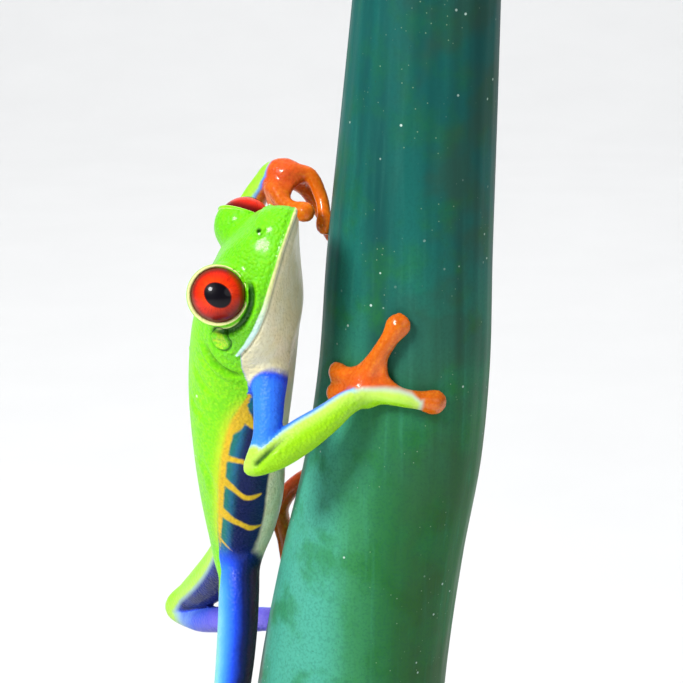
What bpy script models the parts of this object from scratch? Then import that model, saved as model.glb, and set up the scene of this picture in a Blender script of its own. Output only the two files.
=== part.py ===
"""A red-eyed tree frog, life size, climbing a cut length of plant stem on a display stand.

The tables are in millimetres. +Z is up and the origin lies under the middle of the base. The
frog climbs with its head up, its belly towards +X and its right side towards -Y. Its body is
shaped whole, as a loft with tubes and pads, and is then parted by thin flat cuts at the joints.
"""
import math

import bmesh
import bpy
import numpy as np
from mathutils import Matrix, Vector
from mathutils.bvhtree import BVHTree

MM = 0.001
GAP = 0.3              # clear space between neighbouring solids
CUT = 0.3              # thickness of the cuts that part the body
CUT_MARGIN = 0.8       # how far a cut reaches past the limb's own radius
CROTCH_MARGIN = 2.6    # and past the inside of a bend
DIGIT_CUT_MARGIN = 0.6

# Stand: a round base with a rod seated in it and in the stem
BASE_RADIUS = 44.0
BASE_HEIGHT = 8.0
BASE_BEVEL = 1.2
ROD_RADIUS = 3.0
ROD_BOTTOM = 4.0
ROD_TOP = 32.0

# Stem: height, sideways place of its centre, and radius
STEM_STATIONS = (
    (22.0, 1.1, 13.4), (40.0, 2.1, 13.0), (55.6, 3.3, 12.6), (74.5, 6.2, 12.0),
    (87.6, 8.8, 11.6), (99.0, 10.1, 11.2), (115.0, 10.8, 10.7), (132.0, 11.8, 10.0),
    (151.0, 12.9, 9.2),
)
STEM_DEPTH = -2.1      # the stem bends in this plane of constant Y

# Head frame: middle point between the eyes, forward and up directions
HEAD_PLACE = (-11.7, -11.5, 116.0)
HEAD_FORWARD = (0.222, -0.446, 0.867)
HEAD_UP = (-0.957, 0.070, 0.281)
TRUNK_FORWARD = (0.055, -0.290, 0.955)
TRUNK_UP = (-0.998, 0.016, 0.062)

# Head sections: distance forward, half width, height of the widest level, top, bottom,
# and how square the upper and lower halves are
HEAD_SECTIONS = (
    (9.9, 0.9, -5.7, -4.7, -6.3, 2.0, 2.0),
    (9.4, 2.1, -5.7, -3.0, -6.5, 2.1, 2.0),
    (8.4, 3.3, -5.7, -2.0, -6.6, 2.1, 2.0),
    (6.5, 5.0, -5.6, -0.9, -6.9, 2.0, 2.1),
    (4.0, 6.9, -5.6, 0.7, -7.3, 1.9, 2.2),
    (1.0, 8.3, -5.5, 2.0, -8.0, 1.9, 2.2),
    (-2.0, 9.0, -5.4, 2.6, -8.9, 2.0, 2.3),
    (-5.5, 9.1, -5.0, 2.8, -10.1, 2.1, 2.3),
    (-9.0, 8.6, -4.4, 2.9, -10.5, 2.2, 2.3),
)
# Trunk sections: centre of the spine, half width, level of the widest point, top, bottom,
# and how square the upper and lower halves are
TRUNK_SECTIONS = (
    ((-11.1, -4.6, 98.5), 7.8, -0.8, 6.7, -6.9, 2.2, 2.2),
    ((-11.4, -1.6, 89.5), 8.2, -0.6, 6.1, -6.1, 2.3, 2.2),
    ((-11.3, 1.2, 80.4), 6.9, -0.3, 5.3, -5.3, 2.3, 2.1),
    ((-11.7, 2.8, 74.2), 5.3, 0.0, 3.9, -3.7, 2.2, 2.1),
    ((-12.5, 3.4, 70.6), 3.6, 0.2, 2.4, -2.2, 2.1, 2.0),
    ((-13.0, 3.7, 68.9), 1.6, 0.2, 1.1, -1.0, 2.0, 2.0),
)

# Eyes, orbits and ears, in the head frame
EYE_RADIUS = 3.5
EYE_PLACE = (0.0, 0.0, 7.5)
EYE_TURN = 39.0        # degrees from sideways towards the front
ORBIT_RADIUS = 4.15
LID_OPENING = 0.97     # the opening's radius as a share of the socket's
ORBIT_INSET = 0.5      # how far the orbit's centre lies behind the eye's
SOCKET_DEPTH = 0.49    # the socket's closed end, in half turns behind the eye's middle
EAR_PLACE = (-6.7, -1.6, 7.6)
EAR_NORMAL = (-0.08, 0.36, 0.93)
EAR_RADIUS = 1.35
EAR_THICKNESS = 1.6
EAR_SINK = 0.1         # how far the drum's middle lies below its place
EAR_RECESS = 4.4       # height of the cutter that makes room for it

# Limb tubes: points (x, y, z, radius) from the body outwards. Each named stretch begins at its
# joint, where it is cut from the one before.
RIGHT_ARM = (
    ("shoulder", (-8.8, -8.6, 104.4, 2.3), (-6.9, -12.3, 103.2, 2.2)),
    ("upper_arm", (-7.1, -14.9, 98.8, 2.0), (-7.9, -16.8, 94.4, 1.9)),
    ("forearm", (-9.4, -18.0, 90.9, 1.75), (-7.2, -17.6, 91.8, 2.0), (-3.4, -16.7, 94.1, 2.15),
     (0.2, -15.7, 96.5, 1.9)),
    ("hand", (2.6, -14.8, 98.2, 1.5), (5.2, -13.2, 99.5, 1.3)),
)
LEFT_ARM = (
    ("shoulder", (-9.4, -4.4, 105.4, 2.3), (-7.4, -1.6, 106.8, 2.2)),
    ("upper_arm", (-8.4, 3.0, 109.0, 2.0), (-10.8, 7.2, 112.0, 1.85)),
    ("forearm", (-12.2, 9.6, 114.2, 1.7), (-11.7, 9.1, 116.4, 1.75), (-10.1, 7.5, 119.8, 1.8),
     (-8.3, 6.0, 122.7, 1.5)),
    ("hand", (-7.1, 5.0, 124.6, 1.4), (-5.9, 3.7, 124.3, 1.3)),
)
RIGHT_LEG = (
    ("hip", (-11.9, 2.0, 75.0, 2.6), (-11.7, -0.4, 72.2, 2.7)),
    ("thigh", (-11.7, -2.9, 67.7, 2.7), (-12.1, -4.6, 61.0, 2.6), (-12.9, -6.4, 54.0, 2.3),
     (-13.9, -8.0, 47.5, 1.9)),
    ("shank", (-14.0, -8.9, 44.4, 1.8), (-11.0, -10.9, 42.2, 2.0), (-4.2, -14.9, 37.6, 2.2),
     (1.8, -18.2, 32.8, 1.7)),
    ("tarsus", (5.0, -19.6, 30.2, 1.5), (7.6, -18.8, 33.2, 1.4), (10.4, -17.0, 37.6, 1.3)),
    ("foot", (12.4, -14.9, 41.4, 1.4), (13.4, -13.2, 43.8, 1.2)),
)
LEFT_LEG = (
    ("hip", (-11.8, 3.4, 75.0, 2.6), (-12.2, 6.4, 72.8, 2.9)),
    ("thigh", (-12.9, 9.8, 70.4, 3.0), (-14.8, 14.2, 66.8, 2.8), (-17.4, 19.2, 62.6, 2.35),
     (-20.0, 24.4, 58.7, 1.95)),
    ("shank", (-21.9, 27.2, 55.5, 1.9), (-19.6, 24.2, 55.0, 1.8), (-15.5, 17.4, 56.7, 2.0),
     (-9.4, 11.2, 59.6, 1.7)),
    ("tarsus", (-4.9, 8.8, 61.2, 1.5), (-4.9, 9.6, 66.5, 1.35), (-5.6, 9.6, 72.0, 1.3)),
    ("foot", (-6.5, 8.9, 77.0, 1.35), (-4.4, 8.3, 80.2, 1.2), (-1.6, 7.3, 82.4, 1.2)),
)

# Digits on the stem: points (degrees round it from the front, height, lift off it, radius).
# The last point is the middle of the toe pad.
RIGHT_FINGERS = (
    ((-31.0, 99.6, 1.1, 1.0), (-39.0, 99.2, 1.0, 0.85), (-47.0, 98.7, 0.75, 1.3)),
    ((-29.0, 100.4, 1.1, 1.0), (-40.0, 102.1, 1.0, 0.9), (-50.0, 103.0, 0.75, 1.5)),
    ((-26.0, 100.6, 1.1, 1.1), (-15.5, 105.0, 1.0, 0.95), (-7.4, 107.9, 0.75, 1.6)),
    ((-22.0, 99.6, 1.1, 1.1), (-2.0, 98.9, 1.0, 1.0), (17.5, 98.0, 0.75, 1.65)),
)
LEFT_TOES = (
    ((-133.0, 83.2, 1.1, 0.9), (-125.0, 86.6, 1.0, 0.8), (-120.0, 89.4, 0.75, 1.2)),
    ((-136.0, 83.8, 1.1, 0.9), (-137.0, 88.8, 1.0, 0.8), (-137.0, 93.2, 0.75, 1.3)),
    ((-139.0, 83.6, 1.1, 0.9), (-152.0, 88.4, 1.0, 0.8), (-159.0, 93.4, 0.75, 1.4)),
    ((-140.0, 82.8, 1.1, 0.9), (-164.0, 84.8, 1.0, 0.8), (-182.0, 87.6, 0.75, 1.4)),
    ((-139.0, 82.0, 1.1, 0.9), (-154.0, 80.2, 1.0, 0.8), (-170.0, 79.0, 0.75, 1.35)),
)
RIGHT_TOES = (
    ((49.0, 44.6, 1.2, 0.9), (40.0, 47.2, 1.0, 0.8), (32.0, 49.2, 0.75, 1.2)),
    ((51.0, 45.2, 1.2, 0.9), (49.0, 49.6, 1.0, 0.8), (46.0, 53.4, 0.75, 1.3)),
    ((54.0, 45.2, 1.2, 0.9), (63.0, 50.0, 1.0, 0.8), (69.0, 54.2, 0.75, 1.4)),
    ((55.0, 44.4, 1.2, 0.9), (76.0, 47.0, 1.0, 0.8), (94.0, 50.2, 0.75, 1.4)),
    ((54.0, 43.6, 1.2, 0.9), (70.0, 42.0, 1.0, 0.8), (86.0, 41.2, 0.75, 1.35)),
)
# The left hand reaches for the stem: points (x, y, z, radius)
LEFT_FINGERS = (
    ((-6.0, 3.3, 122.6, 0.9), (-5.2, 4.0, 120.6, 0.85), (-4.4, 3.8, 118.6, 1.2)),
    ((-5.6, 2.3, 122.6, 1.0), (-4.2, 0.2, 120.9, 0.9), (-2.8, -1.2, 120.0, 1.35)),
    ((-5.2, 3.6, 124.0, 1.1), (-2.6, 3.5, 124.0, 0.95), (-0.7, 2.8, 121.3, 0.9),
     (-0.1, 0.9, 117.9, 1.4)),
    ((-5.2, 4.6, 123.2, 1.0), (-3.0, 5.7, 121.8, 0.9), (-1.3, 6.1, 119.4, 0.9),
     (0.9, 3.9, 116.2, 1.3)),
)
LEFT_HAND_NORMAL = (-0.25, -0.90, 0.35)
PAD_THICKNESS = 0.65   # half thickness of a toe pad
HAND_PALM = (2.3, 2.1, 1.1)
FOOT_SOLE = (2.0, 1.8, 1.0)
WEB_THICKNESS = 0.8
PAD_LENGTH = 1.08      # a toe pad's length as a share of its width
FINGER_ROOT = 4.8      # how far along the digits their cuts lie, at most
TOE_ROOT = 5.0
ROOT_SHARE = 0.6       # and at most this share of a digit's length
WEB_REACH = 0.78       # how far the webs reach towards those cuts
WEB_HOLLOW = 0.3       # how far a web's free edge curves in

# The cut behind the head: its middle in the head frame, its radius and the way it faces
NECK_PLACE = (-8.9, -3.0, 0.0)
NECK_RADIUS = 13.0
NECK_FORWARD = 0.923
NECK_UP = 0.385

# Whole body: fineness of the skin and of the faceted solid
SKIN_VOXEL = 0.35
BODY_TRIANGLES = 3500
TORSO_RINGS = 70
TUBE_STEPS = 6         # rings per station of a limb tube
WEB_STEPS = 8
STEM_RINGS = 14

COLOURS = {
    "leaf_green": (0.24, 0.62, 0.03, 1.0),
    "flank_blue": (0.05, 0.16, 0.62, 1.0),
    "digit_orange": (0.86, 0.28, 0.03, 1.0),
    "iris_red": (0.62, 0.03, 0.01, 1.0),
    "ear_green": (0.36, 0.62, 0.06, 1.0),
    "stem_green": (0.10, 0.30, 0.22, 1.0),
    "base_black": (0.02, 0.02, 0.02, 1.0),
    "rod_steel": (0.60, 0.60, 0.60, 1.0),
}


def clear_scene():
    for thing in list(bpy.data.objects):
        bpy.data.objects.remove(thing, do_unlink=True)


def make_collection(name):
    collection = bpy.data.collections.new(name)
    bpy.context.scene.collection.children.link(collection)
    return collection


def make_material(name):
    material = bpy.data.materials.new(name)
    material.use_nodes = True
    shader = material.node_tree.nodes["Principled BSDF"]
    shader.inputs["Base Color"].default_value = COLOURS[name]
    shader.inputs["Roughness"].default_value = 0.3 if name == "rod_steel" else 0.5
    shader.inputs["Metallic"].default_value = 1.0 if name == "rod_steel" else 0.0
    return material


def unit(vector):
    return np.asarray(vector, float) / np.linalg.norm(vector)


def smooth_table(knots, rows, places):
    """Rows of numbers read at new places along a smooth curve through all of them."""
    knots = np.asarray(knots, float)
    rows = np.asarray(rows, float)
    places = np.atleast_1d(np.asarray(places, float))
    slopes = np.gradient(rows, knots, axis=0)
    cell = np.clip(np.searchsorted(knots, places) - 1, 0, len(knots) - 2)
    step = (knots[cell + 1] - knots[cell])[:, None]
    u = (places[:, None] - knots[cell][:, None]) / step
    return ((2 * u ** 3 - 3 * u ** 2 + 1) * rows[cell]
            + (u ** 3 - 2 * u ** 2 + u) * step * slopes[cell]
            + (3 * u ** 2 - 2 * u ** 3) * rows[cell + 1]
            + (u ** 3 - u ** 2) * step * slopes[cell + 1])


def along(points):
    """Distance along a path at each of its points."""
    steps = np.linalg.norm(np.diff(np.asarray(points)[:, :3], axis=0), axis=1)
    return np.concatenate([[0.0], np.cumsum(steps)])


# ---- the stem's own coordinates

def stem_at(height):
    """Sideways place and radius of the stem at a height."""
    stations = np.array(STEM_STATIONS)
    place, radius = smooth_table(stations[:, 0], stations[:, 1:], height)[0]
    return place, radius


def on_stem(angle, height, lift):
    """A point at an angle round the stem (0 at its -Y front, 90 at +X), lifted off it."""
    place, radius = stem_at(height)
    turn = math.radians(angle)
    reach = radius + lift
    return (place + reach * math.sin(turn), STEM_DEPTH - reach * math.cos(turn), height)


def off_stem(point):
    """The angle, height and lift of a point."""
    place, radius = stem_at(point[2])
    sideways = point[0] - place
    depth = point[1] - STEM_DEPTH
    lift = math.hypot(sideways, depth) - radius
    return np.array([math.degrees(math.atan2(sideways, -depth)), point[2], lift])


def stem_normal(point):
    place, _ = stem_at(point[2])
    return unit((point[0] - place, point[1] - STEM_DEPTH, 0.0))


# ---- mesh makers

def new_object(name, mesh_data, collection, material=None):
    thing = bpy.data.objects.new(name, mesh_data)
    collection.objects.link(thing)
    if material:
        thing.data.materials.append(material)
    return thing


def object_from_bmesh(name, form, collection, material=None):
    bmesh.ops.recalc_face_normals(form, faces=form.faces)
    bmesh.ops.scale(form, vec=(MM, MM, MM), verts=form.verts)
    mesh_data = bpy.data.meshes.new(name)
    form.to_mesh(mesh_data)
    form.free()
    return new_object(name, mesh_data, collection, material)


def loft(name, rings, collection, material=None):
    """A closed skin over a row of point rings, its two ends drawn to their middles."""
    form = bmesh.new()
    rows = [[form.verts.new(point) for point in ring] for ring in rings]
    count = len(rows[0])
    for near, far in zip(rows, rows[1:]):
        for k in range(count):
            j = (k + 1) % count
            form.faces.new((near[k], near[j], far[j], far[k]))
    for row in (rows[0], rows[-1]):
        middle = form.verts.new(np.mean([vert.co for vert in row], axis=0))
        for k in range(count):
            form.faces.new((row[k], row[(k + 1) % count], middle))
    return object_from_bmesh(name, form, collection, material)


def tube(name, stations, collection):
    """A round tube of changing radius with domed ends, through (x, y, z, radius) stations."""
    stations = np.array(stations, float)
    knots = along(stations)
    places = np.linspace(0, knots[-1], TUBE_STEPS * len(stations))
    path = smooth_table(knots, stations, places)
    curve = bpy.data.curves.new(name, "CURVE")
    curve.dimensions = "3D"
    curve.bevel_depth = MM
    curve.bevel_resolution = 3
    curve.use_fill_caps = True
    spline = curve.splines.new("POLY")
    spline.points.add(len(path) - 1)
    for point, (x, y, z, radius) in zip(spline.points, path):
        point.co = (x * MM, y * MM, z * MM, 1.0)
        point.radius = radius
    made = [mesh_from_curve(new_object(name, curve, collection))]
    for x, y, z, radius in (path[0], path[-1]):
        made.append(pad(name + "_end", (x, y, z), (0, 0, 1), (radius, radius, radius), collection))
    return made


def mesh_from_curve(thing):
    """Replace a curve object with its closed mesh."""
    evaluated = thing.evaluated_get(bpy.context.evaluated_depsgraph_get())
    mesh_data = bpy.data.meshes.new_from_object(evaluated)
    form = bmesh.new()
    form.from_mesh(mesh_data)
    bmesh.ops.remove_doubles(form, verts=form.verts, dist=0.000001)
    form.to_mesh(mesh_data)
    form.free()
    solid = bpy.data.objects.new(thing.name + "_solid", mesh_data)
    solid.matrix_world = thing.matrix_world
    thing.users_collection[0].objects.link(solid)
    bpy.data.objects.remove(thing, do_unlink=True)
    return solid


def facing(place, normal, forward=(0.0, 0.0, 1.0)):
    """A matrix at a place whose Z axis is the normal and whose X axis leans forward."""
    up = Vector(unit(normal))
    front = Vector(forward) - up * Vector(forward).dot(up)
    if front.length < 0.05:
        front = up.orthogonal()
    front.normalize()
    turn = Matrix((front, up.cross(front), up)).transposed().to_4x4()
    return Matrix.Translation(Vector(place)) @ turn


def pad(name, place, normal, radii, collection, forward=(0.0, 0.0, 1.0), material=None,
        segments=20):
    """An ellipsoid, thinnest along its normal."""
    form = bmesh.new()
    scale = Matrix.Diagonal((*radii, 1.0))
    bmesh.ops.create_uvsphere(form, u_segments=segments, v_segments=segments // 2, radius=1.0,
                              matrix=facing(place, normal, forward) @ scale)
    return object_from_bmesh(name, form, collection, material)


def drum(name, place, normal, radius, length, collection, material=None, segments=24):
    """A cylinder centred on a place."""
    form = bmesh.new()
    bmesh.ops.create_cone(form, cap_ends=True, segments=segments, radius1=radius,
                          radius2=radius, depth=length, matrix=facing(place, normal))
    return object_from_bmesh(name, form, collection, material)


def join(things, name):
    """Join closed meshes into one object; their overlaps are left to the caller."""
    form = bmesh.new()
    for thing in things:
        form.from_mesh(thing.data)
        bpy.data.objects.remove(thing, do_unlink=True)
    mesh_data = bpy.data.meshes.new(name)
    form.to_mesh(mesh_data)
    form.free()
    return bpy.data.objects.new(name, mesh_data)


def bake_modifiers(thing):
    """Replace an object's mesh with its evaluated one."""
    bpy.context.view_layer.update()
    evaluated = thing.evaluated_get(bpy.context.evaluated_depsgraph_get())
    mesh_data = bpy.data.meshes.new_from_object(evaluated)
    thing.modifiers.clear()
    thing.data = mesh_data


def make_cutter(thing, collection):
    thing.hide_render = True
    thing.display_type = "WIRE"
    if thing.name not in collection.objects:
        collection.objects.link(thing)
    return thing


def cut(thing, cutter):
    boolean = thing.modifiers.new("cut " + cutter.name, "BOOLEAN")
    boolean.operation = "DIFFERENCE"
    boolean.solver = "EXACT"
    boolean.object = cutter


# ---- head and trunk

def section_ring(centre, up, left, section, count=40):
    """One ring of the body: a superellipse whose upper and lower halves differ."""
    half_width, widest, top, bottom, square_up, square_down = section
    ring = []
    for k in range(count):
        turn = 2 * math.pi * k / count
        across, rise = math.cos(turn), math.sin(turn)
        square = square_up if rise >= 0 else square_down
        height = top - widest if rise >= 0 else widest - bottom
        out = math.copysign(abs(across) ** (2 / square), across) * half_width
        lift = widest + math.copysign(abs(rise) ** (2 / square), rise) * height
        ring.append(centre + out * left + lift * up)
    return ring


def frame_axes(forward, up):
    forward = unit(forward)
    left = unit(np.cross(unit(up), forward))
    return forward, np.cross(forward, left), left


def head_point(ahead, above, aside):
    forward, up, left = frame_axes(HEAD_FORWARD, HEAD_UP)
    return np.array(HEAD_PLACE) + ahead * forward + above * up + aside * left


def body_rows():
    """All body sections in one table: centre, up and left directions, and section sizes."""
    rows = []
    _, up, left = frame_axes(HEAD_FORWARD, HEAD_UP)
    for ahead, *section in HEAD_SECTIONS:
        rows.append(np.concatenate([head_point(ahead, 0.0, 0.0), up, left, section]))
    _, up, left = frame_axes(TRUNK_FORWARD, TRUNK_UP)
    for centre, *section in TRUNK_SECTIONS:
        rows.append(np.concatenate([centre, up, left, section]))
    return np.array(rows)


def make_torso(collection):
    rows = body_rows()
    knots = along(rows)
    places = np.linspace(0.0, knots[-1], TORSO_RINGS)
    rings = []
    for row in smooth_table(knots, rows, places):
        rings.append(section_ring(row[:3], unit(row[3:6]), unit(row[6:9]), row[9:]))
    parts = [loft("torso", rings, collection)]
    for side in (1, -1):
        centre = eye_centre(side) - ORBIT_INSET * eye_axis(side)
        size = (ORBIT_RADIUS,) * 3
        parts.append(pad("orbit", centre, eye_axis(side), size, collection, segments=32))
    return parts


def eye_centre(side):
    ahead, above, aside = EYE_PLACE
    return head_point(ahead, above, side * aside)


def eye_axis(side):
    forward, _, left = frame_axes(HEAD_FORWARD, HEAD_UP)
    turn = math.radians(EYE_TURN)
    return math.sin(turn) * forward + math.cos(turn) * side * left


# ---- limbs

def limb_stations(limb):
    return [station for _, *stations in limb for station in stations]


def limb_cuts(limb):
    """Where each named stretch begins: a disc across the joint, mitred where the limb bends."""
    stations = np.array(limb_stations(limb), float)
    cuts = []
    index = 0
    for _, *stretch in limb:
        if index:
            before, joint, after = stations[index - 1:index + 2]
            come, leave = unit(joint[:3] - before[:3]), unit(after[:3] - joint[:3])
            miter = math.cos(math.acos(np.clip(come.dot(leave), -1, 1)) / 2)
            inner = max(before[3], joint[3], after[3]) / miter + CROTCH_MARGIN
            outer = joint[3] + CUT_MARGIN
            inward = unit(leave - come) * (inner - outer) / 2
            cuts.append((joint[:3] + inward, unit(come + leave), (inner + outer) / 2))
        index += len(stretch)
    return cuts


def digit_path(points, spread):
    """A digit's stations in space; spread tells that its points are given round the stem."""
    if not spread:
        return np.array(points, float)
    return np.array([(*on_stem(*point[:3]), point[3]) for point in points])


def hand_normal(point, spread):
    """The way a hand's or foot's back faces at a point."""
    return stem_normal(point) if spread else LEFT_HAND_NORMAL


def digit_shapes(name, path, spread, collection):
    """A slender digit ending in a flat round pad."""
    slim = path.copy()
    slim[-1, 3] = path[-2, 3]
    shapes = tube(name, slim, collection)
    lie = unit(path[-1, :3] - path[-2, :3])
    width = path[-1, 3]
    radii = (width * PAD_LENGTH, width, PAD_THICKNESS)
    normal = hand_normal(path[-1], spread)
    shapes.append(pad(name + "_pad", path[-1, :3], normal, radii, collection, forward=lie))
    return shapes


def root_length(path, root):
    return min(root, ROOT_SHARE * along(path)[-1])


def web(name, first, second, root, spread, collection):
    """A thin sheet between two digits, hollowed along its free edge."""
    form = bmesh.new()
    grid = []
    for i in range(WEB_STEPS + 1):
        across = i / WEB_STEPS
        hollow = 1.0 - WEB_HOLLOW * math.sin(math.pi * across)
        row = []
        for j in range(WEB_STEPS + 1):
            ends = []
            for path in (first, second):
                place = root_length(path, root) * WEB_REACH * hollow * j / WEB_STEPS
                ends.append(smooth_table(along(path), path[:, :3], place)[0])
            if spread:
                ends = [off_stem(end) for end in ends]
            point = ends[0] * (1 - across) + ends[1] * across
            row.append(form.verts.new(on_stem(*point) if spread else point))
        grid.append(row)
    for i in range(WEB_STEPS):
        for j in range(WEB_STEPS):
            form.faces.new((grid[i][j], grid[i + 1][j], grid[i + 1][j + 1], grid[i][j + 1]))
    sheet = object_from_bmesh(name, form, collection)
    thicken = sheet.modifiers.new("thickness", "SOLIDIFY")
    thicken.thickness = WEB_THICKNESS * MM
    thicken.offset = 0.0
    bake_modifiers(sheet)
    return sheet


def make_limb(limb, digits, spread, palm_size, root, collection):
    """Tubes, palm, digits and webs of one limb, with the cuts that part it."""
    shapes = tube("limb", limb_stations(limb), collection)
    cuts = limb_cuts(limb)
    end = np.array(limb[-1][-1][:3])
    lie = end - np.array(limb[-1][1][:3])
    normal = hand_normal(end, spread)
    shapes.append(pad("palm", end, normal, palm_size, collection, forward=lie))
    paths = [digit_path(points, spread) for points in digits]
    for path in paths:
        shapes += digit_shapes("digit", path, spread, collection)
        length = root_length(path, root)
        place, ahead = smooth_table(along(path), path, [length, length + 0.2])
        aim = unit(ahead[:3] - place[:3])
        cuts.append((place[:3], aim, place[3] + DIGIT_CUT_MARGIN))
    for first, second in zip(paths, paths[1:]):
        shapes.append(web("web", first, second, root, spread, collection))
    return shapes, cuts


# ---- assembly

LIMBS = (
    # side, digit name, whether the digits lie on the stem, and the tables
    ("R", "finger", True, RIGHT_ARM, RIGHT_FINGERS, HAND_PALM, FINGER_ROOT),
    ("L", "finger", False, LEFT_ARM, LEFT_FINGERS, HAND_PALM, FINGER_ROOT),
    ("R", "toe", True, RIGHT_LEG, RIGHT_TOES, FOOT_SOLE, TOE_ROOT),
    ("L", "toe", True, LEFT_LEG, LEFT_TOES, FOOT_SOLE, TOE_ROOT),
)


def make_frog(collection, cutters, stem_cutter):
    shapes = make_torso(collection)
    cuts = []
    for _, _, spread, limb, digits, palm_size, root in LIMBS:
        limb_shapes, limb_cut_places = make_limb(limb, digits, spread, palm_size, root,
                                                 collection)
        shapes += limb_shapes
        cuts += limb_cut_places
    body = join(shapes, "body")
    collection.objects.link(body)
    remesh = body.modifiers.new("one skin", "REMESH")
    remesh.mode = "VOXEL"
    remesh.voxel_size = SKIN_VOXEL * MM
    soften = body.modifiers.new("soften", "SMOOTH")
    soften.factor = 0.5
    soften.iterations = 4
    bake_modifiers(body)
    thin_out = body.modifiers.new("facets", "DECIMATE")
    thin_out.ratio = BODY_TRIANGLES / (2 * len(body.data.polygons))
    bake_modifiers(body)
    cut(body, stem_cutter)
    for side in (1, -1):
        for cutter in eye_cutters(side, cutters):
            cut(body, cutter)
    discs = [drum("disc", place, direction, radius, CUT, collection)
             for place, direction, radius in cuts]
    discs.append(neck_disc(collection))
    cut(body, make_cutter(join(discs, "joint_cuts"), cutters))
    bake_modifiers(body)
    return body


def neck_disc(collection):
    """The cut behind the head: it leans forward below, clear of the shoulders."""
    forward, up, _ = frame_axes(HEAD_FORWARD, HEAD_UP)
    facing_way = NECK_FORWARD * forward + NECK_UP * up
    return drum("neck", head_point(*NECK_PLACE), facing_way, NECK_RADIUS, CUT, collection,
                segments=40)


def socket(name, centre, axis, room, cutters, count=22):
    """Room for an eye: a ball behind, running out forwards as the opening between the lids."""
    opening = room * LID_OPENING
    turns = np.linspace(-SOCKET_DEPTH * math.pi, math.acos(LID_OPENING), 9)
    profile = [(room * math.cos(turn), room * math.sin(turn)) for turn in turns]
    profile.append((opening, 2 * room))
    frame = facing(centre, axis)
    rings = []
    for radius, ahead in profile:
        corners = [2 * math.pi * k / count for k in range(count)]
        rings.append([frame @ Vector((radius * math.cos(turn), radius * math.sin(turn), ahead))
                      for turn in corners])
    return loft(name, rings, cutters)


def eye_cutters(side, cutters):
    """The socket of the eye and the recess of the ear drum."""
    ahead, above, aside = EAR_PLACE
    recess = EAR_RECESS / 2 - EAR_THICKNESS / 2 - EAR_SINK - GAP
    ear = head_point(ahead, above, side * aside) + recess * ear_normal(side)
    made = [
        socket("socket", eye_centre(side), eye_axis(side), EYE_RADIUS + GAP, cutters),
        drum("ear_recess", ear, ear_normal(side), EAR_RADIUS + GAP, EAR_RECESS, cutters,
             segments=16),
    ]
    for cutter in made:
        make_cutter(cutter, cutters)
    return made


def ear_normal(side):
    forward, up, left = frame_axes(HEAD_FORWARD, HEAD_UP)
    ahead, above, aside = EAR_NORMAL
    return unit(ahead * forward + above * up + side * aside * left)


def seeds():
    """A point inside each piece of the body, to tell the pieces apart."""
    found = {"head": head_point(-2.0, -4.0, 0.0), "trunk": np.array(TRUNK_SECTIONS[1][0])}
    for side, digit, spread, limb, digits, _, _ in LIMBS:
        for name, *stretch in limb[1:]:
            found[f"{name}_{side}"] = np.mean([point[:3] for point in stretch], axis=0)
        for number, points in enumerate(digits, start=1):
            found[f"{digit}_{number}_{side}"] = digit_path(points, spread)[-1, :3]
    return found


def loose_pieces(form):
    """The vertices of each unconnected piece of a mesh."""
    pieces = []
    found = set()
    for start in form.verts:
        if start in found:
            continue
        found.add(start)
        piece = [start]
        for vert in piece:
            near = [edge.other_vert(vert) for edge in vert.link_edges]
            fresh = [other for other in near if other not in found]
            found.update(fresh)
            piece += fresh
        pieces.append(piece)
    return pieces


def piece_mesh(form, piece):
    """A mesh of its own for one piece."""
    copy = bmesh.new()
    twin = {vert: copy.verts.new(vert.co) for vert in piece}
    for face in form.faces:
        if face.verts[0] in twin:
            copy.faces.new([twin[vert] for vert in face.verts])
    copy.normal_update()
    return copy


def room_inside(tree, place):
    """Distance from a place to the skin around it, or infinity if it lies outside."""
    nearest, normal, _, distance = tree.find_nearest(place)
    return distance if (place - nearest).dot(normal) < 0 else math.inf


def part_body(body, collection, materials):
    """Split the cut body into its loose pieces and name each by the seed that lies in it."""
    form = bmesh.new()
    form.from_mesh(body.data)
    bpy.data.objects.remove(body, do_unlink=True)
    copies = [piece_mesh(form, piece) for piece in loose_pieces(form)]
    form.free()
    trees = [BVHTree.FromBMesh(copy) for copy in copies]
    for name, seed in seeds().items():
        room = [room_inside(tree, Vector(seed) * MM) for tree in trees]
        mesh_data = bpy.data.meshes.new(name)
        copies[int(np.argmin(room))].to_mesh(mesh_data)
        solid = new_object(name, mesh_data, collection, materials[flesh_colour(name)])
        solid.data.shade_smooth()


def flesh_colour(name):
    if name.startswith(("hand", "finger", "foot", "toe")):
        return "digit_orange"
    if name.startswith(("upper_arm", "thigh", "tarsus")):
        return "flank_blue"
    return "leaf_green"


def make_eyes_and_ears(collection, materials):
    for side, letter in ((1, "L"), (-1, "R")):
        eye = pad(f"eye_{letter}", eye_centre(side), eye_axis(side), (EYE_RADIUS,) * 3,
                  collection, material=materials["iris_red"], segments=20)
        eye.data.shade_smooth()
        ahead, above, aside = EAR_PLACE
        place = head_point(ahead, above, side * aside) - EAR_SINK * ear_normal(side)
        ear = drum(f"tympanum_{letter}", place, ear_normal(side), EAR_RADIUS, EAR_THICKNESS,
                   collection, material=materials["ear_green"], segments=16)
        ear.data.shade_smooth()


# ---- stem and stand

def stem_solid(name, grow, collection):
    """The stem as a curve with its radius at each station, grown by an amount."""
    low, high = STEM_STATIONS[0][0], STEM_STATIONS[-1][0]
    curve = bpy.data.curves.new(name, "CURVE")
    curve.dimensions = "3D"
    curve.bevel_depth = MM
    curve.bevel_resolution = 8
    curve.use_fill_caps = True
    spline = curve.splines.new("POLY")
    heights = np.linspace(low - grow, high + grow, STEM_RINGS)
    spline.points.add(len(heights) - 1)
    for point, height in zip(spline.points, heights):
        place, radius = stem_at(height)
        point.co = (place * MM, STEM_DEPTH * MM, height * MM, 1.0)
        point.radius = radius + grow
    return mesh_from_curve(new_object(name, curve, collection))


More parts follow.
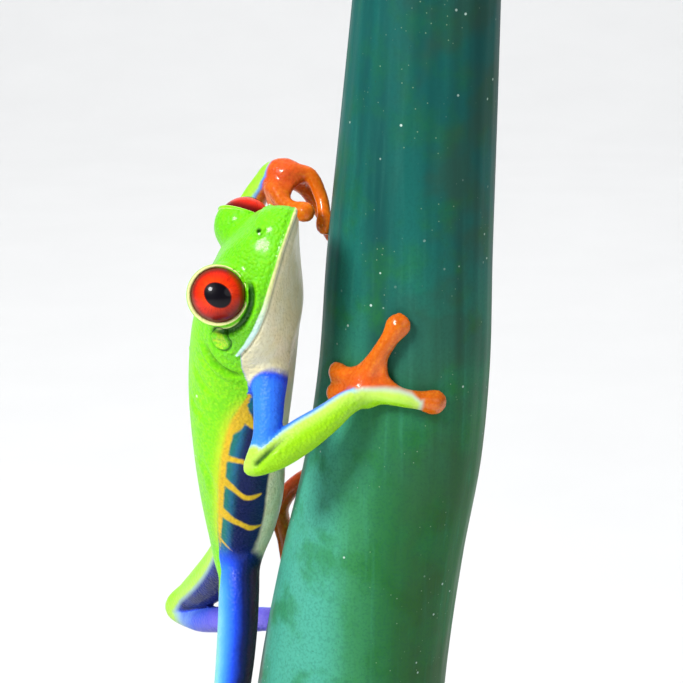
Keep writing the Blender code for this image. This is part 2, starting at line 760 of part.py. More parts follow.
def make_perch(collection, cutters, materials):
    rod_place = (stem_at(STEM_STATIONS[0][0])[0], STEM_DEPTH)
    length = ROD_TOP - ROD_BOTTOM
    middle = (*rod_place, (ROD_TOP + ROD_BOTTOM) / 2)
    seat = drum("rod_seat", middle, (0, 0, 1), ROD_RADIUS + GAP, length + 2 * GAP, cutters,
                segments=24)
    make_cutter(seat, cutters)
    stem = stem_solid("stem", 0.0, collection)
    stem.name = "stem"
    stem.data.materials.clear()
    stem.data.materials.append(materials["stem_green"])
    cut(stem, seat)
    base = drum("stand_base", (0, 0, BASE_HEIGHT / 2), (0, 0, 1), BASE_RADIUS, BASE_HEIGHT,
                collection, materials["base_black"], segments=48)
    edge = base.modifiers.new("edge", "BEVEL")
    edge.width = BASE_BEVEL * MM
    edge.segments = 1
    edge.limit_method = "ANGLE"
    cut(base, seat)
    rod = drum("stand_rod", middle, (0, 0, 1), ROD_RADIUS, length, collection,
               materials["rod_steel"], segments=24)
    for thing in (stem, base, rod):
        thing.data.shade_smooth()
        thing.data.set_sharp_from_angle(angle=math.radians(35))


def main():
    clear_scene()
    frog = make_collection("red_eyed_tree_frog")
    cutters = make_collection("cutters")
    materials = {name: make_material(name) for name in COLOURS}
    stem_cutter = make_cutter(stem_solid("stem_room", GAP, cutters), cutters)
    body = make_frog(frog, cutters, stem_cutter)
    part_body(body, frog, materials)
    make_eyes_and_ears(frog, materials)
    make_perch(frog, cutters, materials)


main()
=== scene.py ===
"""Looks of a life-size red-eyed tree frog that climbs a cut plant stem on a display stand.

The tables are in millimetres, in the part's own frame: +Z up, the frog's belly towards +X and its
right side towards -Y. One unbroken skin is grown as a field of distances over the body, the limbs
and the webs, and its markings follow distances measured along and round the body.
"""

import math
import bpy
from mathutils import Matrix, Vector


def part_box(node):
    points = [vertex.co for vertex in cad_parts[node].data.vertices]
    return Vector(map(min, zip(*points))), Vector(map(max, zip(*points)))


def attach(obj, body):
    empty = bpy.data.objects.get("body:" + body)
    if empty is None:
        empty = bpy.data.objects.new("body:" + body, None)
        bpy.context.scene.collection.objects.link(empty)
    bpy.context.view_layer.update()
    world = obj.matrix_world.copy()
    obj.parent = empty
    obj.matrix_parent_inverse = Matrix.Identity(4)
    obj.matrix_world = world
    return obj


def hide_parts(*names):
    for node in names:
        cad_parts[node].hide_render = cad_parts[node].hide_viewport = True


bl_info = {
    "name": "Red-eyed tree frog",
    "version": (1, 0, 0),
    "blender": (4, 5, 0),
    "location": "View3D > Sidebar > Tree frog",
    "description": "Builds a climbing tree frog with its stem, stand and studio",
    "category": "Add Mesh",
}

import bmesh
import bpy
import numpy as np
import openvdb
from bpy.props import FloatProperty, FloatVectorProperty, PointerProperty
from mathutils import Vector

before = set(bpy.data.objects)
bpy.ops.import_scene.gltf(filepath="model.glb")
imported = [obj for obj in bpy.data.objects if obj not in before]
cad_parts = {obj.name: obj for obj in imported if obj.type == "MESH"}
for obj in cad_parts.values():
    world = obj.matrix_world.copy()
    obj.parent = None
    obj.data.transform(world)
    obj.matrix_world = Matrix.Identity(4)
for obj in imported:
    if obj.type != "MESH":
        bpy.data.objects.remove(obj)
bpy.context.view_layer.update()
MM = 0.001
ROOT = "root"
# The solids of flesh, which the one skin stands for
FLESH = [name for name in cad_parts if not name.startswith(("eye", "stem", "stand"))]


# ---- sizes of the body, in millimetres

# Stem: height, sideways place of its centre, and radius
STEM_STATIONS = (
    (22.0, 1.1, 13.4), (40.0, 2.1, 13.0), (55.6, 3.3, 12.6), (74.5, 6.2, 12.0),
    (87.6, 8.8, 11.6), (99.0, 10.1, 11.2), (115.0, 10.8, 10.7), (132.0, 11.8, 10.0),
    (151.0, 12.9, 9.2),
)
STEM_DEPTH = -2.1

HEAD_PLACE = (-11.7, -11.5, 116.0)
HEAD_FORWARD = (0.222, -0.446, 0.867)
HEAD_UP = (-0.957, 0.070, 0.281)
TRUNK_FORWARD = (0.055, -0.290, 0.955)
TRUNK_UP = (-0.998, 0.016, 0.062)
# Distance forward, half width, height of the widest level, top, bottom, and how square the
# upper and lower halves are
HEAD_SECTIONS = (
    (9.5, 0.9, -5.8, -4.9, -6.3, 2.0, 2.0),
    (9.0, 2.1, -5.7, -3.3, -6.5, 2.1, 2.0),
    (8.1, 3.3, -5.7, -2.1, -6.6, 2.1, 2.0),
    (6.5, 5.0, -5.6, -0.9, -6.9, 2.0, 2.1),
    (4.0, 6.9, -5.6, 0.7, -7.3, 1.9, 2.2),
    (1.0, 8.3, -5.5, 2.0, -8.0, 1.9, 2.2),
    (-2.0, 9.0, -5.4, 2.6, -8.9, 2.0, 2.3),
    (-5.5, 9.1, -5.0, 2.8, -10.1, 2.1, 2.3),
    (-9.0, 8.6, -4.4, 2.9, -10.5, 2.2, 2.3),
)
TRUNK_SECTIONS = (
    ((-11.1, -4.6, 98.5), 7.8, -0.8, 6.7, -6.9, 2.2, 2.2),
    ((-11.4, -1.6, 89.5), 8.2, -0.6, 6.1, -6.1, 2.3, 2.2),
    ((-11.3, 1.2, 80.4), 6.9, -0.3, 5.3, -5.3, 2.3, 2.1),
    ((-11.7, 2.8, 74.2), 5.3, 0.0, 3.9, -3.7, 2.2, 2.1),
    ((-12.5, 3.4, 70.6), 3.6, 0.2, 2.4, -2.2, 2.1, 2.0),
    ((-13.0, 3.7, 68.9), 1.6, 0.2, 1.1, -1.0, 2.0, 2.0),
)

# Eyes, in the head frame
EYE_RADIUS = 3.5
EYE_PLACE = (0.0, 0.0, 7.5)
EYE_TURN = 39.0
ORBIT_RADIUS = 3.86
ORBIT_INSET = 0.3
LID_LEVEL = 0.9        # how far in front of the eye's middle the lids end
LID_RADIUS = 3.6

# Limb tubes: points (x, y, z, radius) from the body outwards
RIGHT_ARM = (
    (-8.8, -8.6, 104.4, 2.3), (-6.9, -12.3, 103.2, 2.2), (-7.1, -14.9, 98.8, 2.0),
    (-7.5, -16.8, 94.3, 1.65), (-9.2, -18.0, 90.7, 1.05), (-6.9, -17.8, 92.05, 1.9),
    (-3.4, -16.7, 94.2, 2.25), (0.2, -15.7, 96.5, 1.9), (2.6, -14.8, 98.2, 1.6),
    (5.2, -13.4, 99.3, 1.5),
)
LEFT_ARM = (
    (-9.4, -4.4, 105.4, 2.3), (-7.4, -1.6, 106.8, 2.2), (-8.4, 3.0, 109.0, 2.0),
    (-10.8, 7.2, 112.0, 1.85), (-12.2, 9.6, 114.2, 1.7), (-11.3, 9.1, 116.4, 1.7),
    (-9.7, 7.5, 119.8, 1.7), (-8.1, 6.0, 122.5, 1.55), (-6.9, 5.0, 124.1, 1.5),
    (-5.4, 3.7, 124.1, 1.35),
)
RIGHT_LEG = (
    (-11.9, 2.0, 75.0, 2.6), (-11.7, -0.4, 72.2, 2.7), (-11.7, -2.9, 67.7, 2.7),
    (-12.1, -4.6, 61.0, 2.6), (-12.9, -6.4, 54.0, 2.3), (-13.9, -8.0, 47.5, 1.9),
    (-14.0, -8.9, 44.4, 1.8), (-11.0, -10.9, 42.2, 2.0), (-4.2, -14.9, 37.6, 2.2),
    (1.8, -18.2, 32.8, 1.7), (5.0, -19.6, 30.2, 1.5), (7.6, -18.8, 33.2, 1.4),
    (10.4, -17.0, 37.6, 1.3), (12.4, -14.9, 41.4, 1.2), (13.4, -13.2, 43.8, 1.0),
)
LEFT_LEG = (
    (-11.8, 3.4, 75.0, 2.6), (-12.2, 6.4, 72.8, 2.9), (-12.8, 9.8, 70.2, 3.2),
    (-14.4, 14.2, 66.3, 3.3), (-17.0, 19.2, 62.1, 2.95), (-19.7, 24.4, 58.4, 2.3),
    (-21.9, 27.2, 55.5, 1.95), (-19.6, 24.2, 55.2, 1.8), (-15.5, 17.4, 57.3, 1.85),
    (-9.4, 11.2, 59.7, 1.7), (-4.9, 8.8, 61.2, 1.5), (-4.9, 9.6, 66.5, 1.35),
    (-5.6, 9.6, 72.0, 1.3), (-6.5, 8.9, 77.0, 1.35), (-4.4, 8.3, 80.2, 1.2),
    (-1.6, 7.3, 82.4, 1.2),
)
# Digits on the stem: degrees round it from the front, height, lift off it, radius. The last
# point is the middle of the toe pad.
RIGHT_FINGERS = (
    ((-31.0, 99.6, 1.1, 1.1), (-40.0, 98.9, 1.0, 0.95), (-48.0, 98.2, 0.75, 1.3)),
    ((-29.0, 100.4, 1.1, 1.3), (-38.0, 100.9, 1.0, 1.1), (-47.0, 100.9, 0.75, 1.5)),
    ((-26.5, 100.8, 1.1, 1.5), (-16.3, 104.7, 1.0, 1.15), (-7.4, 107.9, 0.75, 1.6)),
    ((-22.0, 99.6, 1.1, 1.5), (-2.0, 98.8, 1.0, 1.2), (17.5, 98.0, 0.75, 1.65)),
)
LEFT_TOES = (
    ((-133.0, 83.2, 1.1, 0.9), (-125.0, 86.6, 1.0, 0.8), (-120.0, 89.4, 0.75, 1.2)),
    ((-136.0, 83.8, 1.1, 0.9), (-137.0, 88.8, 1.0, 0.8), (-137.0, 93.2, 0.75, 1.3)),
    ((-139.0, 83.6, 1.1, 0.9), (-152.0, 88.4, 1.0, 0.8), (-159.0, 93.4, 0.75, 1.4)),
    ((-140.0, 82.8, 1.1, 0.9), (-164.0, 84.8, 1.0, 0.8), (-182.0, 87.6, 0.75, 1.4)),
    ((-139.0, 82.0, 1.1, 0.9), (-154.0, 80.2, 1.0, 0.8), (-170.0, 79.0, 0.75, 1.35)),
)
RIGHT_TOES = (
    ((49.0, 44.6, 1.2, 0.9), (40.0, 47.2, 1.0, 0.8), (32.0, 49.2, 0.75, 1.2)),
    ((51.0, 45.2, 1.2, 0.9), (49.0, 49.6, 1.0, 0.8), (46.0, 53.4, 0.75, 1.3)),
    ((54.0, 45.2, 1.2, 0.9), (63.0, 50.0, 1.0, 0.8), (69.0, 54.2, 0.75, 1.4)),
    ((55.0, 44.4, 1.2, 0.9), (76.0, 47.0, 1.0, 0.8), (94.0, 50.2, 0.75, 1.4)),
    ((54.0, 43.6, 1.2, 0.9), (70.0, 42.0, 1.0, 0.8), (86.0, 41.2, 0.75, 1.35)),
)
# The left hand reaches for the stem: points (x, y, z, radius)
LEFT_FINGERS = (
    ((-7.0, 3.6, 122.2, 1.2), (-6.7, 3.2, 120.4, 1.0), (-5.8, 2.7, 118.4, 1.2)),
    ((-6.5, 2.7, 122.2, 1.3), (-5.1, 0.6, 120.5, 1.05), (-2.8, -1.2, 120.0, 1.35)),
    ((-4.8, 3.6, 124.2, 1.1), (-2.5, 3.5, 124.2, 1.0), (-0.7, 2.8, 121.3, 0.9),
     (-0.1, 0.9, 117.9, 1.3)),
    ((-5.2, 4.6, 123.2, 1.0), (-3.0, 5.7, 121.8, 0.9), (-1.3, 6.1, 119.4, 0.9),
     (0.9, 3.9, 116.2, 1.3)),
)
LEFT_HAND_NORMAL = (-0.25, -0.90, 0.35)
PAD_HALF_THICKNESS = 0.62
HAND_PALM = (2.3, 2.1, 1.1)
FOOT_SOLE = (2.0, 1.8, 1.0)


# ---- sizes of the skin

CELL = 0.35            # spacing of the field that the skin is grown in
FAR = 2.56             # distances are kept up to this
TORSO_RINGS = 120
RING_POINTS = 96
TUBE_STEPS = 6
WEB_RIBS = 12
RIB_POINTS = 7
ORBIT_BLEND = 1.2      # how softly each part runs into the rest
LIMB_BLEND = 1.6
PALM_BLEND = 0.9
DIGIT_BLEND = 0.7
WEB_BLEND = 0.6
WEB_RADIUS = 0.3
PAD_LENGTH = 1.08
CONTACT = 0.03         # how deep the skin presses on the stem
FINE_REACH = 1.05      # the skin's mesh is finer this near to a small feature
FINE_MARGIN = 0.4      # and is evened out this much further
SMOOTH_PASSES = 3
FINE_SMOOTH_PASSES = 4
SMOOTH_PULL = (0.5, -0.52)

# Webs: how far along the first and the second digit each reaches
RIGHT_HAND_WEB = ((2.8, 2.8), (4.0, 4.4), (4.6, 5.2))
LEFT_HAND_WEB = ((2.4, 2.4), (2.2, 2.4), (3.4, 3.6))
FOOT_WEB = ((2.6, 3.6), (3.8, 4.8), (4.6, 5.4), (4.6, 3.8))
WEB_HOLLOW = 0.3       # how much the free edge of a web hollows


# ---- places of the marks, in the head frame (forward, up) or along and round the body

LIP_LINE = ((12.0, -6.05), (9.6, -6.0), (7.0, -5.85), (3.0, -5.9), (0.5, -5.95), (-2.5, -5.6),
            (-5.0, -5.0), (-7.0, -4.3), (-8.2, -3.9))
LIP_WIDTHS = ((-8.4, 0.1), (-7.0, 0.2), (-4.5, 0.34), (-1.0, 0.4), (1.5, 0.3), (5.0, 0.17),
              (10.0, 0.13))
NOSTRIL = (7.65, -2.4, 2.7)
NOSTRIL_RIM = (7.35, -2.8, 2.95)
CANTHUS = ((3.9, -0.5, 5.1), (5.6, -1.2, 3.9), (7.5, -2.0, 2.7))
CHEEK_HOLLOW = ((3.6, -3.2, 6.3), (5.8, -3.8, 4.9), (7.6, -4.2, 3.4))
EAR_PLACE = (-6.2, -1.6, 8.3)
EAR_RADIUS = 1.4
# The fold behind the head, an arc about the hinge of the jaw: its middle, radius, and first and
# last degrees
NECK_FOLD = ((-4.0, -5.0), 7.0, 126.0, 187.0)
JAW_FOLDS = (((-7.4, -3.4), (-8.6, -4.9)), ((-8.6, -2.6), (-9.3, -4.6)),
             ((-5.6, -4.6), (-7.0, -5.6)))
# Round the eye: degrees from forward towards up, and distance from the eye's axis
EYE_CREASE = ((-38.0, 4.4), (-57.0, 4.45), (-81.0, 4.5), (-100.0, 4.65), (-124.0, 4.85),
              (-145.0, 4.95), (-169.0, 4.8), (-189.0, 4.55))
LOWER_LID = ((-116.0, 4.1), (-135.0, 4.2), (-160.0, 4.25), (-184.0, 4.2))
# Distance along the body and degrees down from the spine: the green back's edge
GREEN_EDGE = ((12.0, 84.0), (16.5, 90.0), (20.0, 100.0), (23.0, 104.0), (26.0, 97.0),
              (28.2, 87.0), (30.3, 79.0), (32.5, 74.0), (36.0, 69.0), (40.0, 66.0), (45.4, 61.0),
              (50.4, 56.0), (54.0, 54.0), (60.0, 60.0))
BELLY_EDGE = ((12.0, 84.0), (16.5, 90.0), (20.0, 100.0), (23.0, 104.0), (25.0, 107.0),
              (27.5, 114.0), (32.5, 123.0), (39.0, 131.0), (43.5, 126.0), (48.7, 121.0),
              (52.0, 118.0), (55.0, 130.0), (58.0, 175.0), (60.0, 180.0))
# Yellow bars of the flank: distance along the body, degrees down, half width
FLANK_BARS = (
    ((25.6, 97.0, 0.3), (27.5, 93.0, 0.5), (29.3, 90.0, 0.95), (30.8, 84.0, 1.0),
     (32.2, 77.0, 0.65), (34.0, 71.0, 0.45)),
    ((29.8, 96.0, 0.85), (31.0, 103.0, 0.5), (31.6, 112.0, 0.3)),
    ((35.5, 67.0, 0.7), (36.0, 77.0, 0.45), (36.2, 88.0, 0.36), (36.5, 100.0, 0.4)),
    ((39.0, 65.0, 0.95), (40.2, 77.0, 0.55), (41.3, 87.0, 0.42), (42.1, 96.0, 0.44),
     (42.2, 108.0, 0.38), (41.9, 119.0, 0.16)),
    ((44.8, 61.0, 1.0), (46.2, 77.0, 0.6), (47.0, 91.0, 0.45), (47.7, 106.0, 0.42),
     (47.6, 120.0, 0.16)),
    ((50.2, 57.0, 0.25), (51.1, 67.0, 0.16), (52.2, 79.0, 0.06)),
)
BORDER_WIDTHS = ((25.0, 0.2), (28.0, 0.55), (33.0, 0.62), (40.0, 0.55), (48.0, 0.42),
                 (51.0, 0.2), (53.0, 0.0), (55.0, -0.2))
ROUND_STEP = 0.13      # millimetres round the body for each degree


# ---- curves and tables

def unit(vector):
    return np.asarray(vector, float) / np.linalg.norm(vector)


def smooth_table(knots, rows, places):
    """Rows of numbers read at new places along a smooth curve through all of them."""
    knots = np.asarray(knots, float)
    rows = np.asarray(rows, float)
    places = np.atleast_1d(np.asarray(places, float))
    slopes = np.gradient(rows, knots, axis=0)
    cell = np.clip(np.searchsorted(knots, places) - 1, 0, len(knots) - 2)
    step = (knots[cell + 1] - knots[cell])[:, None]
    u = (places[:, None] - knots[cell][:, None]) / step
    return ((2 * u ** 3 - 3 * u ** 2 + 1) * rows[cell]
            + (u ** 3 - 2 * u ** 2 + u) * step * slopes[cell]
            + (3 * u ** 2 - 2 * u ** 3) * rows[cell + 1]
            + (u ** 3 - u ** 2) * step * slopes[cell + 1])


def along(points):
    """Distance along a path at each of its points."""
    steps = np.linalg.norm(np.diff(np.asarray(points)[:, :3], axis=0), axis=1)
    return np.concatenate([[0.0], np.cumsum(steps)])


def dense_path(stations, steps=TUBE_STEPS):
    """Closely spaced stations on a smooth curve through the given ones."""
    stations = np.array(stations, float)
    knots = along(stations)
    return smooth_table(knots, stations, np.linspace(0.0, knots[-1], steps * len(stations)))


def line_value(table, places):
    """A value read off a short table of (place, value) pairs, in straight steps."""
    knots, values = np.array(sorted(table)).T
    return np.interp(places, knots, values)


def stem_at(heights):
    """Sideways place and radius of the stem at each height."""
    stations = np.array(STEM_STATIONS)
    heights = np.clip(np.asarray(heights, float), stations[0, 0], stations[-1, 0])
    return smooth_table(stations[:, 0], stations[:, 1:], heights.ravel()).T


def on_stem(angle, height, lift):
    (place,), (radius,) = stem_at([height])
    turn = math.radians(angle)
    reach = radius + lift
    return np.array([place + reach * math.sin(turn), STEM_DEPTH - reach * math.cos(turn), height])


def off_stem(point):
    (place,), (radius,) = stem_at([point[2]])
    sideways, depth = point[0] - place, point[1] - STEM_DEPTH
    lift = math.hypot(sideways, depth) - radius
    return np.array([math.degrees(math.atan2(sideways, -depth)), point[2], lift])


def frame_axes(forward, up):
    forward = unit(forward)
    left = unit(np.cross(unit(up), forward))
    return forward, np.cross(forward, left), left


HEAD_AXES = frame_axes(HEAD_FORWARD, HEAD_UP)


def head_point(ahead, above, aside):
    forward, up, left = HEAD_AXES
    return np.array(HEAD_PLACE) + ahead * forward + above * up + aside * left


def eye_centre(side):
    ahead, above, aside = EYE_PLACE
    return head_point(ahead, above, side * aside)


def eye_axes(side):
    """Outward, forward and up directions of an eye."""
    forward, up, left = HEAD_AXES
    turn = math.radians(EYE_TURN)
    out = math.sin(turn) * forward + math.cos(turn) * side * left
    ahead = math.cos(turn) * forward - math.sin(turn) * side * left
    return out, ahead, up


def body_table():
    """All body sections: centre, up and left directions, and the section's sizes."""
    rows = []
    _, up, left = HEAD_AXES
    for ahead, *section in HEAD_SECTIONS:
        rows.append(np.concatenate([head_point(ahead, 0.0, 0.0), up, left, section]))
    _, up, left = frame_axes(TRUNK_FORWARD, TRUNK_UP)
    for centre, *section in TRUNK_SECTIONS:
        rows.append(np.concatenate([centre, up, left, section]))
    rows = np.array(rows)
    knots = along(rows)
    places = np.linspace(0.0, knots[-1], TORSO_RINGS)
    dense = smooth_table(knots, rows, places)
    for axis in (slice(3, 6), slice(6, 9)):
        dense[:, axis] /= np.linalg.norm(dense[:, axis], axis=1)[:, None]
    return places, dense


# ---- the field of distances

def soft_least(first, second, soft):
    """The lesser of two distances, with the corner between them rounded off."""
    near = np.maximum(soft - np.abs(first - second), 0)
    return np.minimum(first, second) - near ** 2 / (4 * soft)


def near_path(points, stations, reach=FAR):
    """For each point near a chain of round links: distance to it, station, and way out from it."""
    stations = np.asarray(stations, float)
    gap = np.full(len(points), 2 * FAR)
    station = np.zeros(len(points))
    outward = np.tile((1.0, 0.0, 0.0), (len(points), 1))
    wide = reach + stations[:, 3].max()
    for number, (start, stop) in enumerate(zip(stations, stations[1:])):
        low, high = np.minimum(start, stop)[:3] - wide, np.maximum(start, stop)[:3] + wide
        near = np.flatnonzero(np.all((points > low) & (points < high), axis=1))
        step = stop - start
        offset = points[near] - start[:3]
        share = np.clip(offset @ step[:3] / max(step[:3] @ step[:3], 1e-9), 0, 1)
        away = offset - share[:, None] * step[:3]
        found = np.linalg.norm(away, axis=1) - (start[3] + share * step[3])
        closer = found < gap[near]
        near = near[closer]
        gap[near], outward[near] = found[closer], away[closer]
        station[near] = number + share[closer]
    return gap, station / (len(stations) - 1), outward


def pad_distance(x, y, z, place, axes, radii):
    """Distance to an ellipsoid, close enough near its surface."""
    scaled, steep = 0, 0
    for axis, radius in zip(axes, radii):
        reach = ((x - place[0]) * axis[0] + (y - place[1]) * axis[1] + (z - place[2]) * axis[2])
        scaled = scaled + (reach / radius) ** 2
        steep = steep + (reach / radius ** 2) ** 2
    scaled = np.sqrt(scaled)
    return scaled * (scaled - 1) / np.sqrt(np.maximum(steep, 1e-6))


class Field:
    """Signed distances to the body on a regular grid, negative inside."""

    def __init__(self, low, high):
        self.first = np.floor(np.array(low) / CELL).astype(int)
        last = np.ceil(np.array(high) / CELL).astype(int)
        self.values = np.full(last - self.first + 1, FAR, np.float32)

    def window(self, low, high):
        """The grid near a box: its slices and the coordinates of its points."""
        near = np.floor((np.array(low) - FAR) / CELL).astype(int) - self.first
        far = np.ceil((np.array(high) + FAR) / CELL).astype(int) - self.first + 1
        near, far = np.maximum(near, 0), np.minimum(far, self.values.shape)
        lines = [(np.arange(a, b) + f) * np.float32(CELL) for a, b, f in zip(near, far, self.first)]
        places = (lines[0][:, None, None], lines[1][None, :, None], lines[2][None, None, :])
        return tuple(slice(a, b) for a, b in zip(near, far)), places

    def unite(self, low, high, distance, soft):
        where, places = self.window(low, high)
        fresh = np.minimum(distance(*places), FAR).astype(np.float32)
        self.values[where] = soft_least(self.values[where], fresh, soft)

    def cut(self, low, high, distance):
        where, places = self.window(low, high)
        self.values[where] = np.maximum(self.values[where], -distance(*places))

    def add_chain(self, stations, soft):
        """Join a chain of round links, whose radius may change, to what is there."""
        stations = np.asarray(stations, float)
        reach = stations[:, 3].max()
        low, high = stations[:, :3].min(axis=0) - reach, stations[:, :3].max(axis=0) + reach
        where, _ = self.window(low, high)
        first = [part.start for part in where]
        least = np.full([part.stop - part.start for part in where], FAR, np.float32)
        for start, stop in zip(stations, stations[1:]):
            link = np.array([start, stop])
            near, (x, y, z) = self.window(link[:, :3].min(axis=0) - link[:, 3].max(),
                                          link[:, :3].max(axis=0) + link[:, 3].max())
            part = tuple(slice(side.start - base, side.stop - base)
                         for side, base in zip(near, first))
            step = stop - start
            x, y, z = x - start[0], y - start[1], z - start[2]
            length = max(step[:3] @ step[:3], 1e-9)
            share = np.clip((x * step[0] + y * step[1] + z * step[2]) / length, 0, 1)
            gap = np.sqrt((x - share * step[0]) ** 2 + (y - share * step[1]) ** 2
                          + (z - share * step[2]) ** 2) - (start[3] + share * step[3])
            least[part] = np.minimum(least[part], gap)
        self.values[where] = soft_least(self.values[where], least, soft)

    def add_pad(self, place, normal, forward, radii, soft):
        up = unit(normal)
        front = unit(forward - up * np.dot(forward, up))
        axes = (front, np.cross(up, front), up)
        low, high = np.array(place) - max(radii), np.array(place) + max(radii)
        self.unite(low, high, lambda x, y, z: pad_distance(x, y, z, place, axes, radii), soft)

    def add_solid(self, points, quads, triangles):
        scale = openvdb.createLinearTransform(CELL)
        grid = openvdb.FloatGrid.createLevelSetFromPolygons(
            np.asarray(points, np.float32), triangles=np.asarray(triangles, np.uint32),
            quads=np.asarray(quads, np.uint32), transform=scale, halfWidth=FAR / CELL)
        fresh = np.empty(self.values.shape, np.float32)
        grid.copyToArray(fresh, ijk=tuple(int(value) for value in self.first))
        self.values = np.minimum(self.values, fresh)

    def read(self, points):
        """The distances at any points, in straight steps between the grid's own."""
        spots = np.clip(points / CELL - self.first, 0, np.array(self.values.shape) - 1.001)
        base = spots.astype(int)
        share = spots - base
        total = np.zeros(len(points))
        for corner in np.ndindex(2, 2, 2):
            weight = np.prod(np.where(corner, share, 1 - share), axis=1)
            total += weight * self.values[tuple((base + corner).T)]
        return total

    def skin(self):
        """Points and quads of the surface."""
        grid = openvdb.FloatGrid(FAR)
        grid.copyFromArray(np.minimum(self.values, FAR))
        points, quads = grid.convertToQuads(0.0)
        return (points + self.first) * CELL, quads


# ---- shapes of the body

def section_ring(row):
    """One ring of the body: a superellipse whose upper and lower halves differ."""
    centre, up, left = row[:3], row[3:6], row[6:9]
    half_width, widest, top, bottom, square_up, square_down = row[9:]
    turn = np.linspace(0.0, 2 * math.pi, RING_POINTS, endpoint=False)
    across, rise = np.cos(turn), np.sin(turn)
    square = np.where(rise >= 0, square_up, square_down)
    height = np.where(rise >= 0, top - widest, widest - bottom)
    out = np.sign(across) * np.abs(across) ** (2 / square) * half_width
    lift = widest + np.sign(rise) * np.abs(rise) ** (2 / square) * height
    return centre + out[:, None] * left + lift[:, None] * up


def add_torso(field, table):
    rings = np.array([section_ring(row) for row in table])
    count, size = rings.shape[:2]
    points = np.concatenate([rings.reshape(-1, 3), [rings[0].mean(axis=0), rings[-1].mean(axis=0)]])
    near = np.arange(count * size).reshape(count, size)
    over = np.roll(near, -1, axis=1)
    quads = np.stack([near[:-1], over[:-1], over[1:], near[1:]], axis=-1).reshape(-1, 4)
    first = np.stack([near[0], np.full(size, count * size), over[0]], axis=-1)
    last = np.stack([near[-1], over[-1], np.full(size, count * size + 1)], axis=-1)
    field.add_solid(points, quads, np.concatenate([first, last]))


def add_orbit(field, side):
    out, _, _ = eye_axes(side)
    place = eye_centre(side) - ORBIT_INSET * out
    radii = (ORBIT_RADIUS,) * 3
    field.add_pad(place, out, np.array(HEAD_UP), radii, ORBIT_BLEND)


def open_lids(field, side):
    """Level the orbit off where the lids end, so that the eye stands out of it."""
    out, _, _ = eye_axes(side)
    place = eye_centre(side)

    def opening(x, y, z):
        px, py, pz = x - place[0], y - place[1], z - place[2]
        ahead = px * out[0] + py * out[1] + pz * out[2]
        aside = np.sqrt(np.maximum(px * px + py * py + pz * pz - ahead * ahead, 0))
        return np.maximum(aside - LID_RADIUS, LID_LEVEL - ahead)

    field.cut(place - EYE_RADIUS, place + EYE_RADIUS, opening)


def digit_path(points, spread):
    if not spread:
        return np.array(points, float)
    return np.array([(*on_stem(*point[:3]), point[3]) for point in points])


def digit_normal(point, spread):
    if not spread:
        return unit(LEFT_HAND_NORMAL)
    (place,), _ = stem_at([point[2]])
    return unit((point[0] - place, point[1] - STEM_DEPTH, 0.0))


def add_digit(field, path, spread):
    """A slender digit with a swelling at its joint, ending in a round flat pad."""
    slim = path.copy()
    slim[-1, 3] = path[-2, 3]
    field.add_chain(dense_path(slim), DIGIT_BLEND)
    width = path[-1, 3]
    normal = digit_normal(path[-1], spread)
    radii = (width * PAD_LENGTH, width, PAD_HALF_THICKNESS)
    field.add_pad(path[-1, :3], normal, path[-1, :3] - path[-2, :3], radii, WEB_BLEND)


def add_web(field, first, second, reaches, spread):
    """A web as a fan of thin ribs between two digits, hollowed along its free edge."""
    for share in np.linspace(0.1, 1.0, WEB_RIBS):
        ends = []
        for path, reach in ((first, reaches[0]), (second, reaches[1])):
            knots = along(path)
            place = min(reach, knots[-1]) * share
            ends.append(smooth_table(knots, path[:, :3], place)[0])
        rib = []
        for across in np.linspace(0.0, 1.0, RIB_POINTS):
            sag = 1.0 - WEB_HOLLOW * math.sin(math.pi * across)
            if spread:
                start, stop = off_stem(ends[0]), off_stem(ends[1])
                root = (off_stem(first[0, :3]) + off_stem(second[0, :3])) / 2
                point = start * (1 - across) + stop * across
                rib.append((*on_stem(*(root + (point - root) * sag)), WEB_RADIUS))
            else:
                root = (first[0, :3] + second[0, :3]) / 2
                point = ends[0] * (1 - across) + ends[1] * across
                rib.append((*(root + (point - root) * sag), WEB_RADIUS))
        field.add_chain(rib, WEB_BLEND)


LIMBS = (
    (RIGHT_ARM, RIGHT_FINGERS, True, HAND_PALM, RIGHT_HAND_WEB),
    (LEFT_ARM, LEFT_FINGERS, False, HAND_PALM, LEFT_HAND_WEB),
    (RIGHT_LEG, RIGHT_TOES, True, FOOT_SOLE, FOOT_WEB),
    (LEFT_LEG, LEFT_TOES, True, FOOT_SOLE, FOOT_WEB),
)


def add_limb(field, limb, digits, spread, palm, webs):
    field.add_chain(dense_path(limb), LIMB_BLEND)
    end = np.array(limb[-1][:3])
    lie = end - np.array(limb[-2][:3])
    field.add_pad(end, digit_normal(end, spread), lie, palm, PALM_BLEND)
    paths = [digit_path(points, spread) for points in digits]
    for path in paths:
        add_digit(field, path, spread)
    for first, second, reaches in zip(paths, paths[1:], webs):
        add_web(field, first, second, reaches, spread)


def stem_distance(x, y, z):
    place, radius = stem_at(z)
    return np.sqrt((x - place) ** 2 + (y - STEM_DEPTH) ** 2) - radius


def nodes_box(names):
    corners = [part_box(name) for name in names]
    low = np.min([corner[0] for corner in corners], axis=0)
    high = np.max([corner[1] for corner in corners], axis=0)
    return low, high


def grow_skin(table):
    """The field of the whole frog, and that of its body alone."""
    low, high = (np.array(corner) / MM for corner in nodes_box(FLESH))
    field = Field(low - FAR, high + FAR)
    add_torso(field, table)
    for side in (1, -1):
        add_orbit(field, side)
    torso = Field(low - FAR, high + FAR)
    torso.values = field.values.copy()
    for limb in LIMBS:
        add_limb(field, *limb)
    for side in (1, -1):
        open_lids(field, side)
    field.cut(low, high, lambda x, y, z: stem_distance(x, y, z) + CONTACT)
    return field, torso


# ---- the skin's mesh

